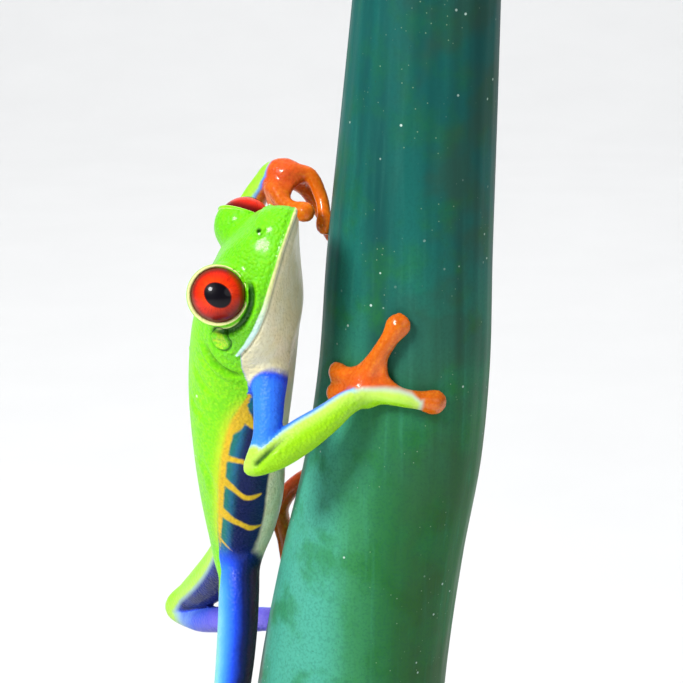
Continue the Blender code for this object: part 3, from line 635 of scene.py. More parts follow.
def relax(points, edges, passes, chosen=None):
    """Even a surface out without shrinking it: each pass draws points in, then pushes back."""
    count = len(points)
    share = np.bincount(edges.ravel(), minlength=count)[:, None]
    moving = np.ones((count, 1)) if chosen is None else chosen[:, None].astype(float)
    for step in SMOOTH_PULL * passes:
        total = np.stack([np.bincount(edges[:, 0], points[edges[:, 1], axis], count)
                          + np.bincount(edges[:, 1], points[edges[:, 0], axis], count)
                          for axis in range(3)], axis=1)
        points = points + step * moving * (total / share - points)
    return points


def mesh_arrays(mesh):
    """Points in millimetres, edges and normals of a mesh."""
    points = np.empty(len(mesh.vertices) * 3)
    mesh.vertices.foreach_get("co", points)
    edges = np.empty(len(mesh.edges) * 2, np.int32)
    mesh.edges.foreach_get("vertices", edges)
    normals = np.empty(len(mesh.vertices) * 3, np.float32)
    mesh.vertex_normals.foreach_get("vector", normals)
    return points.reshape(-1, 3) / MM, edges.reshape(-1, 2), normals.reshape(-1, 3).astype(float)


def place_points(mesh, points):
    mesh.vertices.foreach_set("co", (points * MM).astype(np.float32).ravel())
    mesh.update()


def head_places(points):
    """Forward, up and left of each point in the head's own frame."""
    return (points - np.array(HEAD_PLACE)) @ np.array(HEAD_AXES).T


def refine(mesh, wanted):
    """Split the quads near small features in four, so that those can be modelled."""
    points, edges, _ = mesh_arrays(mesh)
    near = wanted(points) < FINE_REACH
    editor = bmesh.new()
    editor.from_mesh(mesh)
    editor.edges.ensure_lookup_table()
    chosen = [editor.edges[number] for number in np.flatnonzero(np.all(near[edges], axis=1))]
    bmesh.ops.subdivide_edges(editor, edges=chosen, cuts=1, use_grid_fill=True)
    editor.to_mesh(mesh)
    editor.free()
    points, edges, _ = mesh_arrays(mesh)
    near = wanted(points) < FINE_REACH + FINE_MARGIN
    place_points(mesh, relax(points, edges, FINE_SMOOTH_PASSES, near))


def path_distance(points, path):
    """Distance from each point to a path, and the share of the way along it."""
    path = np.asarray(path, float)
    least, place = np.full(len(points), np.inf), np.zeros(len(points))
    for number, (start, stop) in enumerate(zip(path, path[1:])):
        step = stop - start
        share = np.clip((points - start) @ step / (step @ step), 0, 1)
        gap = np.linalg.norm(points - start - share[:, None] * step, axis=1)
        near = gap < least
        least[near], place[near] = gap[near], number + share[near]
    return least, place / (len(path) - 1)


def smooth_step(value, low, high):
    share = np.clip((value - low) / (high - low), 0, 1)
    return share * share * (3 - 2 * share)


def hump(distance, width):
    return np.exp(-(distance / width) ** 2)


def relief(distance, profile):
    """Rise at a distance from a line, by the rows of its profile: height, middle and width."""
    return sum(height * hump(distance - middle, width) for height, middle, width in profile)


def fading(share, start, stop):
    """1 along a line and 0 at its ends, by how much of it the fading takes and where it starts."""
    return smooth_step(share, 0.0, start) * smooth_step(share, 1.0, stop)


def lip_height(ahead):
    return line_value(LIP_LINE, ahead)


def arc_path(middle, radius, first, last, steps=9):
    """Points along an arc, in the head frame seen from the side."""
    return [(middle[0] + radius * math.cos(turn), middle[1] + radius * math.sin(turn))
            for turn in np.radians(np.linspace(first, last, steps))]


def mirrored(place, spot):
    """Distance from points in the head frame to a spot that both sides have."""
    return np.linalg.norm(np.column_stack([place[:, :2], np.abs(place[:, 2])]) - spot, axis=1)


def round_eye(points, side, path):
    """How far outside a line drawn round the eye points lie, and the share of the way along it."""
    out, ahead, up = eye_axes(side)
    offset = points - eye_centre(side)
    turn = np.degrees(np.arctan2(offset @ up, offset @ ahead))
    turn = np.where(turn > 90, turn - 360, turn)
    first, last = path[0][0], path[-1][0]
    gap = np.hypot(offset @ ahead, offset @ up) - np.interp(turn, *np.array(path[::-1]).T)
    beside = np.abs(offset @ out - EYE_BAND[0]) < EYE_BAND[1]
    return np.where(beside, gap, AWAY), (turn - first) / (last - first)


def head_features(points):
    """Distance to the nearest small feature of the head or of the right hand."""
    place = head_places(points)
    side_view, ahead, above = place[:, :2], place[:, 0], place[:, 1]
    least = np.minimum(mirrored(place, NOSTRIL), mirrored(place, NOSTRIL_RIM))
    least = np.minimum(least, np.maximum(mirrored(place, EAR_PLACE) - EAR_RADIUS - 0.2, 0))
    least = np.minimum(least, np.abs(above - lip_height(ahead)) + AWAY * (ahead < LIP_END))
    to_fold, _ = path_distance(side_view, arc_path(*NECK_FOLD))
    least = np.minimum(least, to_fold + AWAY * (np.abs(place[:, 2]) < THROAT))
    for side in (1, -1):
        least = np.minimum(least, np.abs(round_eye(points, side, EYE_CREASE)[0] + 0.3))
    least = np.where(ahead > HEAD_END, least, AWAY)
    for digit in RIGHT_FINGERS:
        path = digit_path(digit, True)
        least = np.minimum(least, np.maximum(near_path(points, path)[0], 0))
    return least


AWAY = 9.0                  # stands for far from every feature
EYE_BAND = (-0.5, 3.5)      # lines round the eye lie this near to its middle, along its axis
LIP_END, HEAD_END = -9.0, -12.5
LIP_START, HEAD_START = (-8.6, -7.4), (-13.4, -12.0)
THROAT = 3.0                # half the width under the chin that has no neck fold
# Profiles across the folds: rows of height, distance of the row's middle from the fold, and width
LIP_PROFILE = ((0.10, 0.0, 0.28), (-0.18, -0.55, 0.15), (-0.07, 0.5, 0.16))
# The crease profiles paint shade into a fold: their first number is how dark, not a height
LIP_CREASE_SHADE = ((0.5, -0.55, 0.14), (0.45, 0.46, 0.12))
NOSTRIL_PROFILE = ((0.14, 0.5, 0.28), (-0.8, 0.0, 0.28))
NOSTRIL_SHADE = ((2.2, 0.0, 0.32),)
NOSTRIL_RIM_PROFILE = ((0.16, 0.0, 0.28),)
CANTHUS_PROFILE = ((0.2, 0.0, 0.8),)
CROWN_PROFILE = ((-0.55, 0.0, 2.3),)
CHEEK_PROFILE = ((-0.16, 0.0, 1.3),)
EAR_PROFILE = ((0.14, EAR_RADIUS - 0.1, 0.18), (-0.3, EAR_RADIUS + 0.2, 0.17))
EAR_CREASE_SHADE = ((0.8, EAR_RADIUS + 0.18, 0.15),)
NECK_PROFILE = ((0.2, 0.9, 0.6), (-0.46, 0.0, 0.5))
NECK_CREASE_SHADE = ((0.5, 0.0, 0.42),)
JAW_PROFILE = ((-0.10, 0.0, 0.2),)
JAW_CREASE_SHADE = ((0.25, 0.0, 0.16),)
EYE_PROFILE = ((0.24, 0.4, 0.4), (-0.5, -0.32, 0.4))
LOWER_LID_PROFILE = ((0.2, 0.0, 0.17),)
ELBOW_PROFILE = ((0.18, 0.85, 0.4), (-0.6, 0.0, 0.5))
ELBOW_CREASE_SHADE = ((1.1, 0.0, 0.42),)
BODY_PROFILE = ((0.13, 1.1, 0.8), (-0.17, 0.0, 0.6))


def head_folds(points):
    """How far the head's skin is raised, how much shade is painted into its folds, and how deep
    inside the ear it lies.
    """
    place = head_places(points)
    ahead, above, aside = place[:, 0], place[:, 1], np.abs(place[:, 2])
    side_view, one_side = place[:, :2], np.column_stack([ahead, above, aside])
    on_head = smooth_step(ahead, *HEAD_START)

    over_lip = above - lip_height(ahead)
    along_lip = smooth_step(ahead, *LIP_START) * (np.abs(over_lip) < 2)
    lift = along_lip * relief(over_lip, LIP_PROFILE)
    crease_shade = along_lip * relief(over_lip, LIP_CREASE_SHADE)

    pore = mirrored(place, NOSTRIL)
    lift += relief(pore, NOSTRIL_PROFILE)
    lift += relief(mirrored(place, NOSTRIL_RIM), NOSTRIL_RIM_PROFILE)
    crease_shade += relief(pore, NOSTRIL_SHADE)

    ridge, share = path_distance(one_side, CANTHUS)
    lift += relief(ridge, CANTHUS_PROFILE) * hump(share - 0.55, 0.5)
    crown = smooth_step(ahead, -5.0, -2.0) * smooth_step(ahead, 8.0, 6.0) * (above > -4)
    lift += crown * relief(aside, CROWN_PROFILE)
    lift += relief(path_distance(one_side, CHEEK_HOLLOW)[0], CHEEK_PROFILE)

    to_ear = mirrored(place, EAR_PLACE)
    lift += relief(to_ear, EAR_PROFILE)
    lift -= 0.12 * smooth_step(to_ear, EAR_RADIUS - 0.2, EAR_RADIUS - 0.8)
    crease_shade += relief(to_ear, EAR_CREASE_SHADE)

    outer = smooth_step(aside, 2.5, 5.0)
    fold, share = path_distance(side_view, arc_path(*NECK_FOLD))
    ends = outer * fading(share, 0.25, 0.8)
    lift += ends * relief(fold, NECK_PROFILE)
    crease_shade += ends * relief(fold, NECK_CREASE_SHADE)
    for wrinkle in JAW_FOLDS:
        gap, share = path_distance(side_view, wrinkle)
        ends = outer * fading(share, 0.3, 0.7)
        lift += ends * relief(gap, JAW_PROFILE)
        crease_shade += ends * relief(gap, JAW_CREASE_SHADE)
    for side in (1, -1):
        gap, share = round_eye(points, side, EYE_CREASE)
        ends = fading(share, 0.2, 0.8)
        lift += ends * relief(gap, EYE_PROFILE)
        crease_shade += ends * smooth_step(gap, -0.95, -0.55) * smooth_step(gap, 0.22, -0.12)
        gap, share = round_eye(points, side, LOWER_LID)
        ends = fading(share, 0.3, 0.7)
        lift += ends * relief(gap, LOWER_LID_PROFILE)
        crease_shade -= ends * hump(gap, 0.16)
    return lift * on_head, np.maximum(crease_shade, 0.0) * on_head, EAR_RADIUS - to_ear


def limb_point(limb, station, way):
    """A point on a limb's surface, out from its middle in a direction."""
    rows = np.array(limb, float)
    base = min(int(station), len(rows) - 2)
    spot = rows[base] + (station - base) * (rows[base + 1] - rows[base])
    return spot[:3] + unit(way) * spot[3]


def arm_fold(points):
    """The fold that runs up the right forearm from its elbow: how far it raises and sinks the skin,
    and the shade painted into it.
    """
    path = [limb_point(RIGHT_ARM, station, way) for station, way in ELBOW_FOLD]
    gap, share = path_distance(points, path)
    ends = fading(share, 0.2, 0.6)
    return ends * relief(gap, ELBOW_PROFILE), ends * relief(gap, ELBOW_CREASE_SHADE)


# ---- marks on the skin

# crease is shade painted into folds and grooves
SKIN_MARKS = ("green", "cream", "yellow", "blue", "teal", "orange", "lilac", "lip", "lip_tone",
              "dots_and_glint", "cheek", "fringe", "rim", "flush", "crease_shade", "ear")
# The marks of the body that no limb carries
BARE_LIMB = {"cream": -0.7, "yellow": -0.6, "teal": 0.0, "fringe": 0.0, "folds": 0.0,
             "dots_and_glint": -2.0, "cheek": 0.0}

# Outer side of each limb: station, and the direction that its green stripe faces
RIGHT_ARM_SIDES = ((0, (-0.9, -0.4, 0.2)), (3, (-0.6, -0.8, 0.0)), (4.2, (-0.3, -0.8, -0.5)),
                   (5, (0.2, -0.85, -0.5)), (9, (0.25, -0.75, -0.6)))
LEFT_ARM_SIDES = ((0, (-0.8, 0.2, 0.5)), (4, (-0.8, 0.3, 0.5)), (5, (-0.9, 0.1, 0.35)),
                  (9, (-0.75, 0.1, 0.65)))
RIGHT_LEG_SIDES = ((0, (-1.0, 0.0, 0.0)), (5, (-1.0, -0.1, 0.0)), (6, (-0.8, -0.4, -0.3)),
                   (7.5, (-0.4, -0.8, -0.4)), (10, (0.1, -0.8, -0.6)), (11, (0.5, -0.85, 0.0)),
                   (14, (0.6, -0.8, -0.1)))
LEFT_LEG_SIDES = ((0, (-0.9, 0.0, 0.4)), (2, (-0.7, 0.0, 0.7)), (5, (-0.75, 0.1, 0.6)),
                  (6, (-0.8, 0.5, 0.1)), (7.5, (-0.5, 0.8, -0.2)), (10, (-0.3, 0.9, -0.2)),
                  (12, (-0.6, 0.8, 0.0)), (15, (-0.2, 1.0, 0.1)))
# Colour of each limb: station, half the stripe in degrees, blueness beside the stripe and on
# the far side (0 is pale, 0.5 blue, 1 brown-violet), orange on the far side, lilac. The spread from
# pale beside the stripe to deep on the far side is partly painted light and shade
RIGHT_ARM_LOOKS = ((0, -20, 0.36, 0.54, 0, 0), (2, -20, 0.3, 0.54, 0, 0),
                   (3.15, -20, 0.26, 0.52, 0, 0), (3.5, 70, 0.12, 0.45, 0, 0),
                   (4, 84, 0.08, 0.4, 0, 0), (4.6, 86, 0.02, 0.3, 0, 0),
                   (5, 94, 0.0, 0.25, 0, 0.1), (8, 98, 0.0, 0.25, 0.4, 0.4),
                   (9, 88, 0.0, 0.3, 1, 0.4))
LEFT_ARM_LOOKS = ((0, -20, 0.42, 0.5, 0, 0), (3.4, -10, 0.42, 0.5, 0.1, 0),
                  (4.4, 76, 0.1, 0.5, 0.6, 0), (8, 78, 0.2, 0.6, 1, 0.2), (9, 50, 0.2, 0.5, 1, 0.2))
RIGHT_LEG_LOOKS = ((0, 50, 0.3, 1, 0, 0), (1.1, 40, 0.25, 1, 0, 0), (1.8, 14, 0.12, 1, 0, 0),
                   (2.4, -10, 0.03, 1, 0, 0), (5.2, -10, 0.03, 1, 0, 0), (6.2, 50, 0.05, 0.9, 0, 0),
                   (7.5, 62, 0.1, 0.8, 0, 0.3), (10, 58, 0.1, 0.7, 0.1, 0.2),
                   (11, 50, 0.1, 0.6, 0.8, 0), (14, 22, 0.1, 0.5, 1, 0))
LEFT_LEG_LOOKS = ((0, 55, 0.4, 0.8, 0, 0), (2, 56, 0.62, 0.85, 0, 0), (5, 62, 0.6, 0.82, 0, 0),
                  (6, 88, 0.2, 0.6, 0, 0.2), (7.5, 62, 0.3, 0.6, 0, 0.9),
                  (10, 58, 0.2, 0.6, 0.1, 0.9), (11, 50, 0.1, 0.6, 0.8, 0.2),
                  (15, 22, 0.1, 0.5, 1, 0))
# Each limb in two lengths that meet at the elbow or knee: first and last station, how softly its
# marks run into the ones before, and how pale its green's edge is
LIMB_MARKS = (
    (RIGHT_ARM, RIGHT_ARM_SIDES, RIGHT_ARM_LOOKS, 0, 4, 0.8, 0.9),
    (RIGHT_ARM, RIGHT_ARM_SIDES, RIGHT_ARM_LOOKS, 4, 9, 0.25, 1.0),
    (LEFT_ARM, LEFT_ARM_SIDES, LEFT_ARM_LOOKS, 0, 4, 0.8, 0.2),
    (LEFT_ARM, LEFT_ARM_SIDES, LEFT_ARM_LOOKS, 4, 9, 0.25, 0.5),
    (RIGHT_LEG, RIGHT_LEG_SIDES, RIGHT_LEG_LOOKS, 0, 6, 1.8, 0.0),
    (RIGHT_LEG, RIGHT_LEG_SIDES, RIGHT_LEG_LOOKS, 6, 14, 0.3, 0.3),
    (LEFT_LEG, LEFT_LEG_SIDES, LEFT_LEG_LOOKS, 0, 6, 1.8, 0.7),
    (LEFT_LEG, LEFT_LEG_SIDES, LEFT_LEG_LOOKS, 6, 15, 0.3, 0.7),
)
ARMS = (RIGHT_ARM, LEFT_ARM)
ELBOW_FOLD = ((4.1, (-0.2, -0.95, 0.2)), (4.9, (-0.3, -0.85, 0.45)), (6.1, (-0.25, -0.68, 0.7)))
# Upper edge of the green that runs on over the hand: degrees round the stem, height
HAND_GREEN = ((-38.0, 98.2), (-31.0, 99.2), (-28.0, 99.6), (-23.0, 99.9), (-12.0, 99.9),
              (-4.0, 99.7), (3.0, 99.2), (8.0, 98.2))
BACK_DOTS = ((32.6, 18.0), (38.4, 31.0), (24.0, 12.0), (45.0, 8.0), (28.5, 40.0))
DOT_RADIUS = 0.22
DOT_RISE = 0.1
# Soft folds of the body skin: distance along the body and degrees down from the spine
BODY_FOLDS = (((20.0, 46.0), (22.0, 62.0), (24.0, 82.0)),
              ((23.4, 34.0), (26.0, 52.0), (27.0, 70.0)),
              ((29.0, 22.0), (30.6, 38.0), (30.8, 56.0)),
              ((37.0, 40.0), (40.0, 54.0), (44.0, 62.0)))
# Where marks start or end: the distances along the body between which each fades out and in
HEAD_MARKS, HEAD_FOLDS = (18.0, 14.5), (25.0, 22.0)
NAPE, NAPE_SIDES = (24.0, 15.0), (25.0, 60.0)     # the second in degrees down from the spine
YELLOW_START = 25.0
CREAM_END = (45.0, 53.0)
GROIN = (50.0, 55.0)
TEAL_START, TEAL_DEPTH = (24.0, 28.0), (-3.3, -1.1)     # the depths are from the green's edge
# Depths below the green's edge where the flank's blue deepens: partly its own navy, partly painted
# shade
DARK_BLUE_DEPTH = (0.8, 3.6)
FRINGE_START, FRINGE_END = (24.0, 29.0), (54.0, 48.0)
BORDER_DEPTH = 0.35         # how far below the green's edge its yellow border runs
LOWER_LID_WIDTH = 0.17
# The same for a limb: stations on it, and degrees from its stripe or past its edge
LIMB_ROOT = (1.1, 1.7)
FAR_SIDE, LILAC_SIDE, ORANGE_SIDE = (20, 150), (10, 50), (4, 26)
# The green on the right hand: its reach round the stem, off it and down it, and where it can't be
HAND_GREEN_ENDS = (-30.0, 7.6)
HAND_GREEN_FADE = 0.22
HAND_REACH, HAND_LIFT, HAND_FLOOR = 1.0, 5.0, 95.0
FLUSH_WIDTH = 2.7


def torso_places(points, places, table):
    """Distance along the body and degrees down from the spine, for every point."""
    forward = np.cross(table[:, 3:6], table[:, 6:9])
    centres = table[:, :3]
    ahead = points @ forward.T - np.sum(centres * forward, axis=1)
    apart = np.sqrt(np.maximum(np.sum(points ** 2, axis=1)[:, None] - 2 * points @ centres.T
                               + np.sum(centres ** 2, axis=1), 0))
    nearest = np.argmin(np.abs(ahead) + 0.02 * apart + (apart > 14) * 100, axis=1)
    everyone = np.arange(len(points))
    step = places[1] - places[0]
    place = places[nearest] + np.clip(ahead[everyone, nearest], -0.6 * step, 0.6 * step)
    sizes = np.stack([np.interp(place, places, column) for column in table[:, 9:13].T], axis=1)
    half_width, widest, top, bottom = sizes.T
    offset = points - centres[nearest]
    across = np.abs(np.sum(offset * table[nearest, 6:9], axis=1))
    rise = np.sum(offset * table[nearest, 3:6], axis=1) - widest
    height = np.where(rise > 0, top - widest, widest - bottom)
    return place, 90 - np.degrees(np.arctan2(rise / height, across / half_width))


def limb_marks(points, limb, sides, looks, first, last):
    """Distance to a limb, how far clear of its root points are, and its stripe and colours."""
    stations = np.array(limb[first:last + 1])
    gap, share, outward = near_path(points, dense_path(stations))
    knots = along(stations)
    station = first + np.interp(share * knots[-1], knots, np.arange(len(knots)))
    numbers = np.array([number for number, _ in sides])
    ways = np.array([unit(way) for _, way in sides])
    way = np.stack([np.interp(station, numbers, column) for column in ways.T], axis=1)
    outward = outward / np.maximum(np.linalg.norm(outward, axis=1), 1e-6)[:, None]
    turn = np.degrees(np.arccos(np.clip(np.sum(outward * way, axis=1)
                                        / np.linalg.norm(way, axis=1), -1, 1)))
    rows = np.array(looks, float)
    half, near, far, orange, lilac = (np.interp(station, rows[:, 0], column)
                                      for column in rows[:, 1:].T)
    radius = np.interp(share * knots[-1], knots, stations[:, 3])
    stripe = np.radians(half - turn) * radius
    rooted = smooth_step(station, *LIMB_ROOT)
    # the far side is painted deeper, partly as shade
    deep = smooth_step(turn, *FAR_SIDE)
    beyond = smooth_step(turn - half, *LILAC_SIDE)
    return gap, rooted, (stripe, near + (far - near) * deep,
                         orange * smooth_step(turn - half, *ORANGE_SIDE), lilac * beyond)


def torso_marks(points, places, table):
    """The marks of the head and body, as if no limb were there."""
    place, turn = torso_places(points, places, table)
    head = head_places(points)
    ahead, above = head[:, 0], head[:, 1]
    girth = np.stack([place, turn * ROUND_STEP, np.zeros(len(points))], axis=1)
    on_head = smooth_step(place, *HEAD_MARKS)
    neck = smooth_step(place, *NAPE) * smooth_step(turn, *NAPE_SIDES)
    over_lip = above - lip_height(ahead)
    edge = (line_value(GREEN_EDGE, place) - turn) * ROUND_STEP
    belly = (turn - line_value(BELLY_EDGE, place)) * ROUND_STEP
    green = on_head * over_lip + (1 - on_head) * edge
    cream = on_head * -over_lip + (1 - on_head) * belly
    yellow = line_value(BORDER_WIDTHS, place) - np.abs(edge + BORDER_DEPTH)
    yellow = np.where(place > YELLOW_START, yellow, -3.0)
    for bar in FLANK_BARS:
        path = [(spot, degrees * ROUND_STEP, 0.0, wide) for spot, degrees, wide in bar]
        gap, _, _ = near_path(girth, dense_path(path))
        yellow = np.maximum(yellow, -gap)
    yellow = np.clip(yellow, -0.6, 0.6)
    groin = smooth_step(place, *GROIN)
    cream = np.clip(cream * (1 - 0.75 * smooth_step(place, *CREAM_END)), -0.7, 0.7)
    # deeper blue lower on the flank: partly its own navy, partly painted shade
    blue = 0.5 + 0.34 * smooth_step(-edge, *DARK_BLUE_DEPTH) * (1 - 0.7 * groin)
    teal = smooth_step(edge, *TEAL_DEPTH) * (1 - groin) * smooth_step(place, *TEAL_START)
    lip = line_value(LIP_WIDTHS, ahead) - np.abs(over_lip)
    lip_tone = smooth_step(ahead, 4.0, -3.0)
    for side in (1, -1):
        gap, share = round_eye(points, side, LOWER_LID)
        wide = LOWER_LID_WIDTH * fading(share, 0.3, 0.7) - 0.05
        lip_tone = np.where(np.abs(gap) < 0.4, 0.0, lip_tone)
        lip = np.maximum(lip, wide - np.abs(gap))
    dots_and_glint = np.full(len(points), -1.0)
    for spot, degrees in BACK_DOTS:
        gap = np.linalg.norm(girth - (spot, degrees * ROUND_STEP, 0.0), axis=1)
        dots_and_glint = np.maximum(dots_and_glint, DOT_RADIUS - gap)
    # a white spot on the nostril's raised rim, a painted highlight
    dots_and_glint = np.maximum(dots_and_glint, 0.17 - mirrored(head, NOSTRIL_RIM))
    folds = np.zeros(len(points))
    for bend in BODY_FOLDS:
        path = [(spot, degrees * ROUND_STEP) for spot, degrees in bend]
        gap, share = path_distance(girth[:, :2], path)
        folds += fading(share, 0.3, 0.7) * relief(gap, BODY_PROFILE)
    fringe = hump(edge - 0.1, 0.9) * smooth_step(place, *FRINGE_START)
    fringe = fringe * smooth_step(place, *FRINGE_END)
    return {"green": green, "cream": cream, "yellow": yellow, "blue": blue, "teal": teal,
            "lip": np.where(on_head > 0.2, lip, -1.0), "lip_tone": lip_tone,
            "dots_and_glint": dots_and_glint, "fringe": fringe, "folds": folds, "cheek": np.maximum(on_head, neck),
            "head": smooth_step(place, *HEAD_FOLDS)}


def mark_skin(points, places, table, torso_gap):
    """Every mark of the skin as a value for each point: depths in millimetres or shares."""
    marks = torso_marks(points, places, table)
    nothing = np.zeros(len(points))
    on_torso = smooth_step(torso_gap, 1.2, 0.5)
    marks["lip"] = np.where(on_torso > 0.5, marks["lip"], -1.0)
    marks["head"] = marks["head"] * on_torso
    marks.update(orange=nothing, lilac=nothing, rim=nothing)
    nearest = torso_gap
    for limb, sides, looks, first, last, soft, rim in LIMB_MARKS:
        gap, rooted, (stripe, blue, orange, lilac) = limb_marks(points, limb, sides, looks,
                                                                first, last)
        share = smooth_step(nearest - gap, -soft, soft) * (rooted if limb in ARMS else 1.0)
        of_limb = {"green": stripe, "blue": blue, "orange": orange, "lilac": lilac, "rim": rim,
                   **BARE_LIMB}
        for name, value in of_limb.items():
            marks[name] = marks[name] * (1 - share) + value * share
        nearest = np.minimum(nearest, gap)

    hand, wrist, forearm = np.full((3, len(points)), 2 * FAR)
    for limb, digits, spread, palm, _ in LIMBS:
        for stations in digits:
            hand = np.minimum(hand, near_path(points, digit_path(stations, spread))[0])
        wrist = np.minimum(wrist, np.linalg.norm(points - np.array(limb[-1][:3]), axis=1))
        forearm = np.minimum(forearm, np.linalg.norm(points - np.array(limb[-2][:3]), axis=1))
    hand = np.minimum(hand, wrist - palm[0])
    share = smooth_step(nearest - hand, -1.1, 0.5)
    marks["orange"] = np.maximum(marks["orange"], share)
    marks["flush"] = hump(np.minimum(wrist, forearm), FLUSH_WIDTH)
    angle, height, lift = stem_places(points)
    over_hand = np.interp(angle, *np.array(HAND_GREEN).T) - height
    start, stop = HAND_GREEN_ENDS
    over_hand = np.minimum(over_hand, np.minimum(stop - angle, angle - start) * HAND_GREEN_FADE)
    on_hand = (hand < HAND_REACH) & (lift < HAND_LIFT) & (height > HAND_FLOOR)
    over_hand = np.where(on_hand, over_hand, -2.0)
    marks["green"] = np.maximum(marks["green"] * (1 - share) - 1.5 * share, over_hand)
    marks["rim"] = np.where(over_hand > -1.5, 1.0, marks["rim"] * (1 - share))
    marks["cream"] = marks["cream"] * (1 - share) - 0.7 * share
    return marks


def stem_places(points):
    """Degrees round the stem from its front, height, and distance off it."""
    place, radius = stem_at(points[:, 2])
    sideways, depth = points[:, 0] - place, points[:, 1] - STEM_DEPTH
    return (np.degrees(np.arctan2(sideways, -depth)), points[:, 2],
            np.hypot(sideways, depth) - radius)


def write_marks(mesh, marks):
    for name, values in marks.items():
        layer = mesh.attributes.new(name, "FLOAT", "POINT")
        layer.data.foreach_set("value", values.astype(np.float32))


def show(name, mesh):
    piece = bpy.data.objects.new(name, mesh)
    bpy.context.scene.collection.objects.link(piece)
    return piece


def make_skin(name):
    """The frog's whole skin: grown, evened out, finely modelled on the head, and marked."""
    places, table = body_table()
    field, torso = grow_skin(table)
    points, quads = field.skin()
    mesh = bpy.data.meshes.new(name)
    mesh.from_pydata((points * MM).tolist(), [], quads.tolist())
    points, edges, _ = mesh_arrays(mesh)
    place_points(mesh, relax(points, edges, SMOOTH_PASSES))
    refine(mesh, head_features)
    points, _, normals = mesh_arrays(mesh)
    marks = mark_skin(points, places, table, torso.read(points))
    lift, crease_shade, ear = head_folds(points)
    on_torso = marks.pop("head") > 0.02
    arm_lift, arm_crease_shade = arm_fold(points)
    raised_dots = DOT_RISE * smooth_step(marks["dots_and_glint"], -0.1, 0.12)
    lift = np.where(on_torso, lift, 0.0) + marks.pop("folds") + arm_lift + raised_dots
    # shade painted into the folds of the head and at the elbow
    marks["crease_shade"] = np.where(on_torso, crease_shade, 0.0) + arm_crease_shade
    marks["ear"] = np.where(on_torso, ear, -1.0)
    place_points(mesh, points + normals * lift[:, None])
    write_marks(mesh, marks)
    mesh.shade_smooth()
    return show(name, mesh)


# ---- eyes

GLOBE_RINGS = 72
GLOBE_SPOKES = 144
CORNEA_BULGE = 0.12    # the clear front stands a little out of the round
CORNEA_RADIUS = 2.4
LID_TUBE = 0.3         # half the thickness of the lid's rim behind the eye
LID_RING = 3.6
LID_PROUD = 0.02       # how far the rim stands out of the lid's end
LID_HEIGHT, LID_WIDTH = 0.95, 0.9
LID_THINNING = 0.68    # how much thinner it is towards the snout
LID_THIN_TURN = -0.7
LID_THIN_SPREAD = 1.2
LID_SPOKES = 160
LID_SIDES = 24


def lathe_points(profile, spokes, out, ahead, up, centre):
    """Points of a profile of (reach along the axis, radius) turned round an axis."""
    turn = np.linspace(0, 2 * math.pi, spokes, endpoint=False)
    around = np.cos(turn)[:, None] * ahead + np.sin(turn)[:, None] * up
    profile = np.asarray(profile, float)
    return (centre + profile[:, 0, None, None] * out
            + profile[:, 1, None, None] * around[None]).reshape(-1, 3)


def ring_faces(rings, spokes, closed=False):
    """Quads between neighbouring rings of a lathed surface."""
    near = np.arange(rings * spokes).reshape(rings, spokes)
    over = np.roll(near, -1, axis=1)
    if closed:
        following, following_over = np.roll(near, -1, axis=0), np.roll(over, -1, axis=0)
        return np.stack([near, over, following_over, following], axis=-1).reshape(-1, 4)
    return np.stack([near[:-1], over[:-1], over[1:], near[1:]], axis=-1).reshape(-1, 4)


def solid_mesh(name, points, faces):
    """A smooth closed mesh from points in millimetres, its faces turned outward."""
    mesh = bpy.data.meshes.new(name)
    mesh.from_pydata((np.asarray(points) * MM).tolist(), [], faces)
    editor = bmesh.new()
    editor.from_mesh(mesh)
    bmesh.ops.recalc_face_normals(editor, faces=editor.faces)
    editor.to_mesh(mesh)
    editor.free()
    mesh.shade_smooth()
    return mesh


def make_globe(name, side):
    """An eyeball with a slightly domed clear front; its iris is measured from its axis."""
    out, ahead, up = eye_axes(side)
    bend = np.linspace(0, math.pi, GLOBE_RINGS + 1)
    radius = EYE_RADIUS * np.sin(bend)
    reach = EYE_RADIUS * np.cos(bend)
    dome = np.maximum(1 - (radius / CORNEA_RADIUS) ** 2, 0) ** 2
    reach += CORNEA_BULGE * np.where(reach > 0, dome, 0)
    profile = np.stack([reach, radius], axis=1)[1:-1]
    points = lathe_points(profile, GLOBE_SPOKES, out, ahead, up, eye_centre(side))
    count = len(points)
    front = eye_centre(side) + (EYE_RADIUS + CORNEA_BULGE) * out
    points = np.concatenate([points, [front, eye_centre(side) - EYE_RADIUS * out]])
    faces = ring_faces(len(profile), GLOBE_SPOKES).tolist()
    last = count - GLOBE_SPOKES
    for spoke in range(GLOBE_SPOKES):
        following = (spoke + 1) % GLOBE_SPOKES
        faces.append((spoke, count, following))
        faces.append((last + spoke, last + following, count + 1))
    mesh = solid_mesh(name, points, faces)
    iris = (points - eye_centre(side)) @ np.array([ahead, up, out]).T
    layer = mesh.attributes.new("iris", "FLOAT_VECTOR", "POINT")
    layer.data.foreach_set("vector", iris.astype(np.float32).ravel())
    return show(name, mesh)


